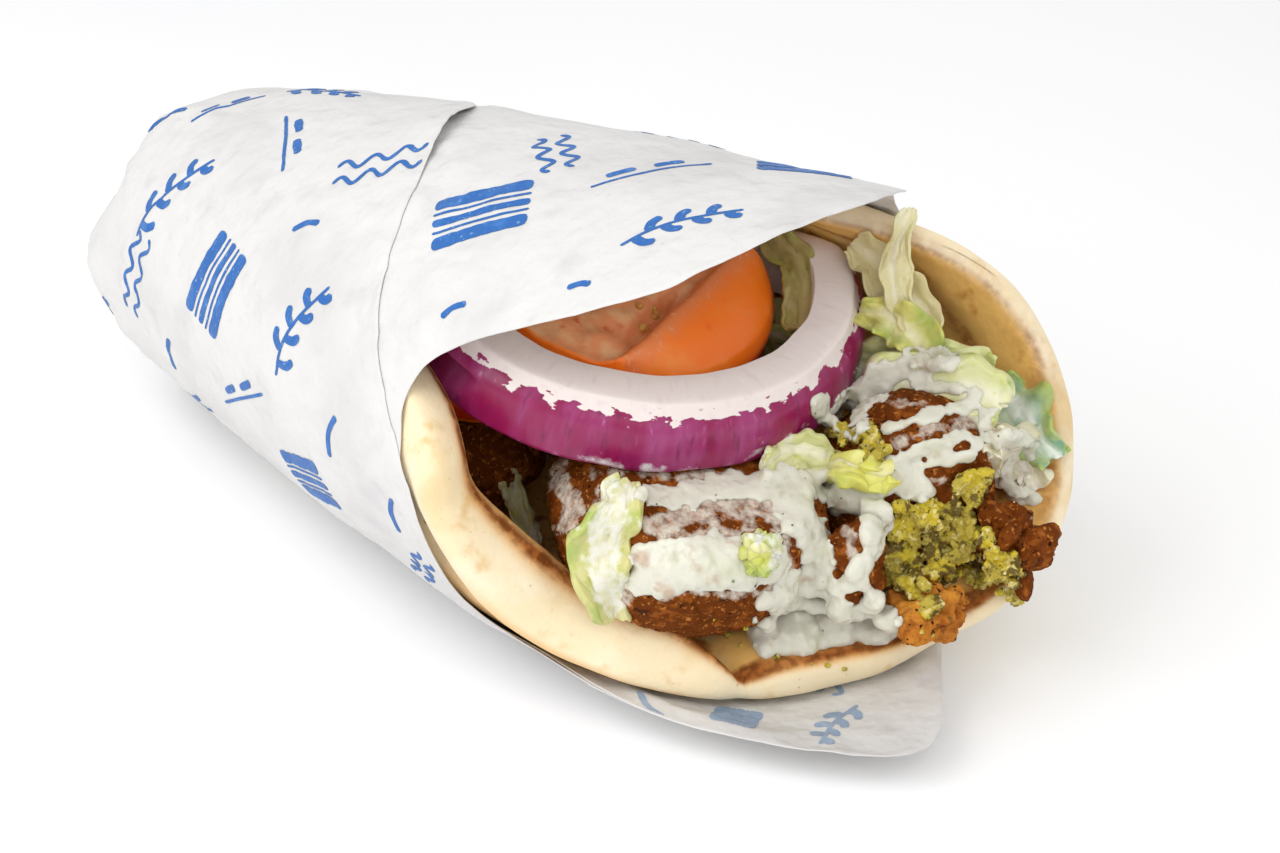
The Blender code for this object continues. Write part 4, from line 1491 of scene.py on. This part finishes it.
def lettuce_material(settings, green, name):
    """Crisp iceberg lettuce: watery and pale, yellow-green towards the margin, glossy and lit through."""
    pale, blotch, midrib = LEAF_TINTS.get(name, (settings.pale, "#C6CF45", "#E9E7CB"))
    material, tree, shader = new_material(
        f"{name} leaf", 0.28, Subsurface_Weight=0.3, Subsurface_Radius=(0.8, 1.0, 0.3),
        Subsurface_Scale=1.5 * MM, Specular_IOR_Level=0.5,
    )
    rib, margin = marked(tree, "rib"), marked(tree, "margin")
    colour = mottle(
        tree, pale,
        (
            (5.0, 0.5, 0.8, midrib),
            (4.5, 0.62 - 0.5 * green, 0.9 - 0.5 * green, settings.green, margin),
            (3.5, 0.68 - 0.22 * green, 0.85 - 0.2 * green, blotch),
            (60.0, -1.0, -0.5, midrib, rib),
            (1.6, 0.62, 0.8, blotch),
        ),
    )
    coat(tree, shader, smear_over(tree, colour, "#E9E8DE"), ((3.0, 0.35), (1.0, 0.12)))
    return material


class LayLettuce(bpy.types.Operator):
    """Lays the torn lettuce leaves between the falafel and the bread, and packs the shreds behind"""

    bl_idname = "pita.lay_lettuce"
    bl_label = "Lay the lettuce"

    def execute(self, context):
        settings = context.scene.pita_lettuce
        under = surfaces_of([
            o for o in bpy.data.objects if o.name.startswith(("falafel_ball", "falafel_bit", "pita_bread"))
        ])
        for name, nodes, spine, width, ruffle, waves, thickness, green, seed in LEAVES:
            lies = max(nearer for _, _, nearer in spine) > LYING_FROM
            middles = [settled(under, *place) if lies else in_view(*place) for place in spine]
            piece = leaf_piece(name, middles, TOWARDS_VIEW, width, ruffle, waves, thickness, seed)
            finish_piece(piece, lettuce_material(settings, green, name), "lettuce", *nodes)
        self.pack_shreds(settings)
        return {"FINISHED"}

    def pack_shreds(self, settings):
        """Shreds of leaf over a smaller core fill the closed half of the bread."""
        draw = random.Random(21)
        core = self.make_core()
        material = lettuce_material(settings, 0.5, "shredded_lettuce")
        finish_piece(core, material, "lettuce", "lettuce_bed")
        shreds = []
        for k in range(SHREDS):
            behind = k < SHREDS_BEHIND
            x = draw.uniform(-66.0, -12.0) if behind else draw.uniform(0.0, 34.0)
            inset = PAPER_GAP + PITA_GAP + PITA_THICKNESS + draw.uniform(2.0, 9.0)
            direction = draw.uniform(0.0, 360.0) if behind else draw.uniform(-15.0, 60.0)
            start = body_point(x, direction, inset)
            way = Vector((draw.uniform(-1.0, 1.0), draw.uniform(-0.8, 0.8), draw.uniform(-0.8, 0.8)))
            bend = Vector((draw.uniform(-3.0, 3.0), draw.uniform(-3.0, 3.0), draw.uniform(-3.0, 3.0)))
            spine = [
                inside_pita(under_ring(start + way * (7.0 * t) + bend * t * t))
                for t in (-1.0, -0.3, 0.4, 1.0)
            ]
            facing = Vector((draw.uniform(-1.0, 1.0), draw.uniform(-1.0, 1.0), 1.0))
            shred = leaf_piece("shred", spine, facing, draw.uniform(1.8, 3.6), 0.8, 2.0, 0.5, k, (22, 8))
            shreds.append(shred)
        bpy.ops.object.select_all(action="DESELECT")
        for shred in shreds:
            shred.select_set(True)
        bpy.context.view_layer.objects.active = shreds[0]
        bpy.ops.object.join()
        shreds[0].name = "lettuce_shreds"
        finish_piece(shreds[0], material, "lettuce", "lettuce_bed", "lettuce_inner")

    def make_core(self):
        """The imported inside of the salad, which shows only as a dark green between the shreds."""

        def place(u, v):
            x = CORE_START_X + CORE_LENGTH * v
            open_share = math.sin(math.pi * v) ** 0.3 if 0.0 < v < 1.0 else 0.0
            inset = PAPER_GAP + PITA_GAP + PITA_THICKNESS + 4.0
            half_width, half_height, middle = section(x, inset)
            angle = 2.0 * math.pi * (u % 1.0)
            lump = 1.0 + 0.1 * noise.noise(Vector((math.cos(angle) * 2.0, math.sin(angle) * 2.0, x / 8.0)))
            return middle + Vector((0.0, half_width * math.cos(angle), half_height * math.sin(angle))) * (
                open_share * lump * 0.9
            )

        return grid_piece("lettuce_core", 60, 40, place)


# ---------------------------------------------------------------- sauce and herbs


class SauceSettings(bpy.types.PropertyGroup):
    thickness: size_property("Sauce thickness", "Thickness of the sauce where it lies thick", 1.3)
    herbs: FloatProperty(
        name="Herbs", description="How thickly herb flecks lie on the sauce", default=0.05, min=0.0, max=1.0
    )
    sauce: colour_property("Sauce", "Yoghurt sauce", "#DAD8C9")
    herb: colour_property("Herbs", "Chopped mint and dill", "#7C8A5A")


# Where the sauce lies thick, as strokes on the view: ((right, up) points, half width, share of thickness).
SAUCE_STROKES = (
    (((1.5, -11.4), (6.9, -11.5), (13.6, -9.7), (20.3, -9.9), (25.7, -11.0)), 2.2, 0.6),
    (((2.3, -23.1), (6.2, -22.8), (12.2, -22.1), (17.6, -22.3), (20.3, -22.1)), 4.7, 0.9),
    (((24.3, -12.1), (27.1, -16.1), (28.5, -20.8), (27.3, -25.8), (23.6, -29.2)), 3.2, 1.0),
    (((20.3, -28.8), (23.6, -29.0)), 1.2, 0.8),
    (((25.5, -27.0), (28.5, -29.0)), 3.0, 1.4),
    (((30.4, -11.0), (34.4, -12.4), (37.4, -14.1), (38.1, -16.8)), 2.4, 1.0),
    (((38.1, -16.1), (37.3, -20.1), (35.6, -24.1), (34.4, -25.8)), 1.6, 1.0),
    (((21.6, -33.6), (29.0, -32.4), (34.7, -31.4), (38.5, -31.6)), 3.1, 2.6),
    (((29.0, -28.2), (31.0, -29.5), (33.0, -30.2)), 3.0, 0.8),
    (((21.6, -9.0), (25.7, -9.4), (30.4, -9.7), (35.7, -10.2), (41.1, -8.7), (44.5, -9.4)), 2.7, 1.0),
    (((39.8, -0.6), (44.5, 1.4), (48.5, 2.6), (52.2, 3.4)), 1.0, 0.7),
    (((41.1, -5.7), (45.8, -3.7), (50.5, -2.0), (55.2, -2.3)), 1.3, 0.7),
    (((44.5, -6.8), (48.5, -6.0), (53.2, -4.3)), 0.8, 0.6),
    (((35.1, 0.7), (36.4, 4.7), (39.8, 8.8), (45.1, 10.4), (49.0, 10.8)), 2.1, 0.8),
    (((45.1, 6.8), (49.8, 6.1), (54.5, 4.7), (56.5, 0.7)), 1.2, 0.6),
    (((58.2, -2.7), (61.9, -2.0), (64.4, -4.3)), 1.5, 0.6),
    (((58.9, -6.3), (60.6, -10.7), (63.9, -11.7)), 1.6, 0.7),
    (((29.3, 4.1), (31.0, 1.4), (33.0, 3.4), (35.4, 6.1), (37.1, 9.8)), 1.5, 0.6),
)
# Where the sauce hangs in folds across the gap between two balls: (right, up, nearer) on the view.
SAUCE_FOLDS = (
    ((24.6, -25.6, 22.5), (28.4, -26.3, 21.0), (32.4, -26.8, 22.0)),
    ((24.4, -28.2, 19.5), (28.4, -28.8, 17.5), (32.4, -29.2, 18.5)),
    ((25.2, -30.6, 15.5), (28.8, -31.1, 14.0), (32.8, -31.5, 14.5)),
)
FOLD_STEPS = 13
LEAST_LUMP = 0.38
SAUCE_VOXEL = 0.36
ON_TOP_OF_SAUCE = ("lettuce_leaf_centre", "lettuce_cube", "lettuce_leaf_right", "lettuce_leaf_back")

# Where only a thin film of it wets what lies below.
FILM_STROKES = (
    (((-14.0, -6.7), (-11.3, -11.4), (-12.0, -15.4)), 3.0, 1.0),
    (((-7.3, -7.4), (-0.5, -7.4), (7.5, -8.0), (14.9, -8.4), (21.0, -8.7)), 2.0, 1.0),
    (((2.8, -16.1), (9.5, -13.4), (17.6, -12.7), (23.0, -14.7)), 3.4, 1.0),
    (((1.0, -15.0), (8.0, -17.6), (16.0, -17.2), (22.0, -18.4)), 2.2, 0.75),
    (((3.5, -27.5), (10.0, -27.0), (18.0, -26.6), (22.0, -25.0)), 1.8, 0.9),
    (((22.3, -17.4), (23.3, -22.1), (21.3, -26.8)), 3.0, 1.0),
    (((41.8, 3.4), (47.8, 4.1), (51.8, 2.7)), 1.3, 1.0),
    (((41.1, -2.7), (47.8, -0.6), (54.5, 0.7)), 2.0, 1.0),
    (((45.1, -8.0), (48.5, -8.7)), 1.5, 1.0),
    (((31.0, 0.7), (35.1, 5.4), (37.7, 10.1)), 2.3, 1.0),
    (((-9.3, -5.0), (-2.6, -6.3), (4.2, -7.7)), 0.8, 1.0),
    (((17.6, -5.3), (20.3, -2.7)), 1.3, 1.0),
    (((23.6, -2.7), (27.0, -0.6)), 1.5, 1.0),
    (((60.6, -16.1), (63.9, -14.7)), 1.2, 1.0),
    (((33.7, -17.4), (35.1, -21.5)), 2.0, 1.0),
    (((-4.0, -11.0), (-5.8, -19.0), (-4.6, -27.0)), 4.0, 0.72),
    (((-9.6, -5.2), (-3.9, -6.3), (2.5, -7.4)), 1.2, 1.0),
)


def sauce_material(settings):
    """Thick yoghurt sauce: off-white, glossy and a little lit through, with faint green juice and flecks."""
    material, tree, shader = new_material(
        "yoghurt sauce", 0.26, Subsurface_Weight=0.35, Subsurface_Radius=(1.0, 0.95, 0.8),
        Subsurface_Scale=1.2 * MM, Specular_IOR_Level=0.5,
    )
    colour = mottle(
        tree, settings.sauce,
        (
            (7.0, 0.5, 0.8, "#CFCFB6"), (3.0, 0.56, 0.78, "#C2C1A6"), (4.2, 0.6, 0.78, "#C3AE98"),
            (1.0, 0.68, 0.8, "#B0AE8C"),
        ),
    )
    coat(tree, shader, colour, ((2.6, 0.25), (0.9, 0.06)))
    return material


class SpoonSauce(bpy.types.Operator):
    """Spoons the yoghurt sauce over the falafel, with its herb flecks"""

    bl_idname = "pita.spoon_sauce"
    bl_label = "Spoon the sauce"

    def execute(self, context):
        settings = context.scene.pita_sauce
        draw = random.Random(3)
        pieces = [o for o in bpy.data.objects if o.type == "MESH" and "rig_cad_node" not in o
                  and not o.name.startswith(("paper", "printed", "floor"))]
        wet_by_film(pieces, surfaces_of(pieces))
        tree = surfaces_of([piece for piece in pieces if piece.name not in ON_TOP_OF_SAUCE])
        lumps = []
        for place, normal, share in spread(tree, SAUCE_STROKES, 0.5, 1.7, draw):
            swell = 0.85 + 0.5 * noise.noise(place / MM / 4.0)
            radius = max(settings.thickness / MM * share * swell, LEAST_LUMP)
            lumps.append((place + (normal * 0.1 + TOWARDS_VIEW * 0.2) * radius * MM, radius))
        for line in SAUCE_FOLDS:
            for k in range(FOLD_STEPS + 1):
                place = to_frame(in_view(*along(line, k / FOLD_STEPS)))
                lumps.append((place, draw.uniform(1.5, 2.1)))
        piece = lump_cluster("yoghurt_sauce", lumps, 1, draw)
        melt(piece, SAUCE_VOXEL, 4)
        roughen(piece, 3.6, 0.5)
        finish_piece(piece, sauce_material(settings), "sauce")
        self.sprinkle_herbs(settings, piece, draw)
        return {"FINISHED"}

    def sprinkle_herbs(self, settings, sauce, draw):
        """Flat flecks lie on the sauce, each at its own angle."""
        tree = surfaces_of([sauce])
        flecks = []
        for place, _, _ in spread(tree, SAUCE_STROKES, 1.6, 1.3, draw):
            if draw.random() < settings.herbs:
                flecks.append((place, draw.uniform(0.12, 0.3)))
        piece = lump_cluster("herb_flecks", flecks, 1, draw)
        material, tree, shader = new_material("chopped herbs", 0.45)
        colour = mottle(tree, settings.herb, ((1.5, 0.4, 0.7, "#8FA061"), (1.0, 0.55, 0.7, "#3F5527")))
        tree.links.new(colour, shader.inputs["Base Color"])
        finish_piece(piece, material, "lettuce")


# ---------------------------------------------------------------- the stage


FLOOR_SIZE = 6.0
LAMP_SIZE = 0.5
KEY_PLACE = (-0.10, -0.42, 0.46)  # in metres, as is the fill lamp's
FILL_PLACE = (0.44, -0.22, 0.5)
FILL_SHARE = 0.55  # the fill lamp's share of the key lamp's power
CAMERA_LENS = 85.0
SENSOR_WIDTH = 36.0


class StageSettings(bpy.types.PropertyGroup):
    floor: colour_property("Floor", "Plain pale floor", "#FAFAFA")
    sky: FloatProperty(name="Fill light", description="Strength of the even light all round", default=0.78)
    key: FloatProperty(name="Key light", description="Power of the large soft lamp, in watts", default=1.85)


class SetStage(bpy.types.Operator):
    """Sets the plain floor, the soft studio light and the camera"""

    bl_idname = "pita.set_stage"
    bl_label = "Set the stage"

    def execute(self, context):
        settings = context.scene.pita_stage
        bpy.ops.object.select_all(action="DESELECT")
        bpy.ops.mesh.primitive_plane_add(size=FLOOR_SIZE)
        floor = context.object
        floor.name = "floor"
        material, tree, shader = new_material("matt white board", 0.9, Specular_IOR_Level=0.1)
        colour = mottle(tree, settings.floor, ((300.0, 0.4, 0.8, "#F6F6F8"),))
        tree.links.new(colour, shader.inputs["Base Color"])
        floor.data.materials.append(material)
        floor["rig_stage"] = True
        world = bpy.data.worlds.new("soft studio")
        context.scene.world = world
        world.use_nodes = True
        background = world.node_tree.nodes["Background"]
        background.inputs["Color"].default_value = (1.0, 1.0, 1.0, 1.0)
        background.inputs["Strength"].default_value = settings.sky
        self.add_lamp("key", KEY_PLACE, settings.key)
        self.add_lamp("fill", FILL_PLACE, settings.key * FILL_SHARE)
        self.add_camera(context)
        context.scene.view_settings.view_transform = "Standard"
        return {"FINISHED"}

    def add_lamp(self, name, place, power):
        lamp = bpy.data.lights.new(name, "AREA")
        lamp.size = LAMP_SIZE
        lamp.energy = power
        holder = bpy.data.objects.new(name, lamp)
        holder.location = place
        holder.rotation_euler = (-Vector(place)).to_track_quat("-Z", "Y").to_euler()
        bpy.context.scene.collection.objects.link(holder)

    def add_camera(self, context):
        lens = bpy.data.cameras.new("camera")
        lens.lens = CAMERA_LENS
        lens.sensor_width = SENSOR_WIDTH
        lens.clip_start = 0.01
        camera = bpy.data.objects.new("camera", lens)
        turn = Matrix((VIEW_RIGHT, VIEW_UP, TOWARDS_VIEW)).transposed().to_4x4()
        camera.matrix_world = Matrix.Translation(to_frame(VIEW_TARGET + TOWARDS_VIEW * VIEW_DISTANCE)) @ turn
        context.scene.collection.objects.link(camera)
        context.scene.camera = camera


# ---------------------------------------------------------------- the panel and the run


class FalafelPitaPanel(bpy.types.Panel):
    """Lists the steps in the order in which the pita is made"""

    bl_idname = "VIEW3D_PT_falafel_pita"
    bl_label = "Falafel Pita"
    bl_space_type = "VIEW_3D"
    bl_region_type = "UI"
    bl_category = "Falafel Pita"

    def draw(self, context):
        for settings, steps in STEPS.items():
            box = self.layout.box()
            group = getattr(context.scene, settings)
            for name in group.bl_rna.properties.keys():
                if name not in ("rna_type", "name"):
                    box.prop(group, name)
            for step in steps:
                box.operator(step.bl_idname)


GROUPS = {
    "pita_wrap": WrapSettings,
    "pita_bread": BreadSettings,
    "pita_salad": SaladSettings,
    "pita_falafel": FalafelSettings,
    "pita_lettuce": LettuceSettings,
    "pita_sauce": SauceSettings,
    "pita_stage": StageSettings,
}
STEPS = {
    "pita_wrap": (WrapPaper, PrintMotifs),
    "pita_bread": (FoldBread,),
    "pita_salad": (SliceOnion, SliceTomato),
    "pita_falafel": (FryFalafel, BreakFalafel),
    "pita_lettuce": (LayLettuce,),
    "pita_sauce": (SpoonSauce,),
    "pita_stage": (SetStage,),
}
CLASSES = (*GROUPS.values(), *(step for steps in STEPS.values() for step in steps), FalafelPitaPanel)


def register():
    for item in CLASSES:
        bpy.utils.register_class(item)
    for name, group in GROUPS.items():
        setattr(bpy.types.Scene, name, PointerProperty(type=group))


def unregister():
    for name in GROUPS:
        delattr(bpy.types.Scene, name)
    for item in reversed(CLASSES):
        bpy.utils.unregister_class(item)


def main():
    register()
    bpy.ops.pita.set_stage()
    bpy.ops.pita.wrap_paper()
    bpy.ops.pita.print_motifs()
    bpy.ops.pita.fold_bread()
    bpy.ops.pita.slice_onion()
    bpy.ops.pita.slice_tomato()
    bpy.ops.pita.fry_falafel()
    bpy.ops.pita.break_falafel()
    bpy.ops.pita.lay_lettuce()
    bpy.ops.pita.spoon_sauce()
    boxes = {"cad": CAD_BOX, "visual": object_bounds()}
    {name: [list(corner) for corner in box] for name, box in boxes.items()}


if __name__ == "__main__":
    main()
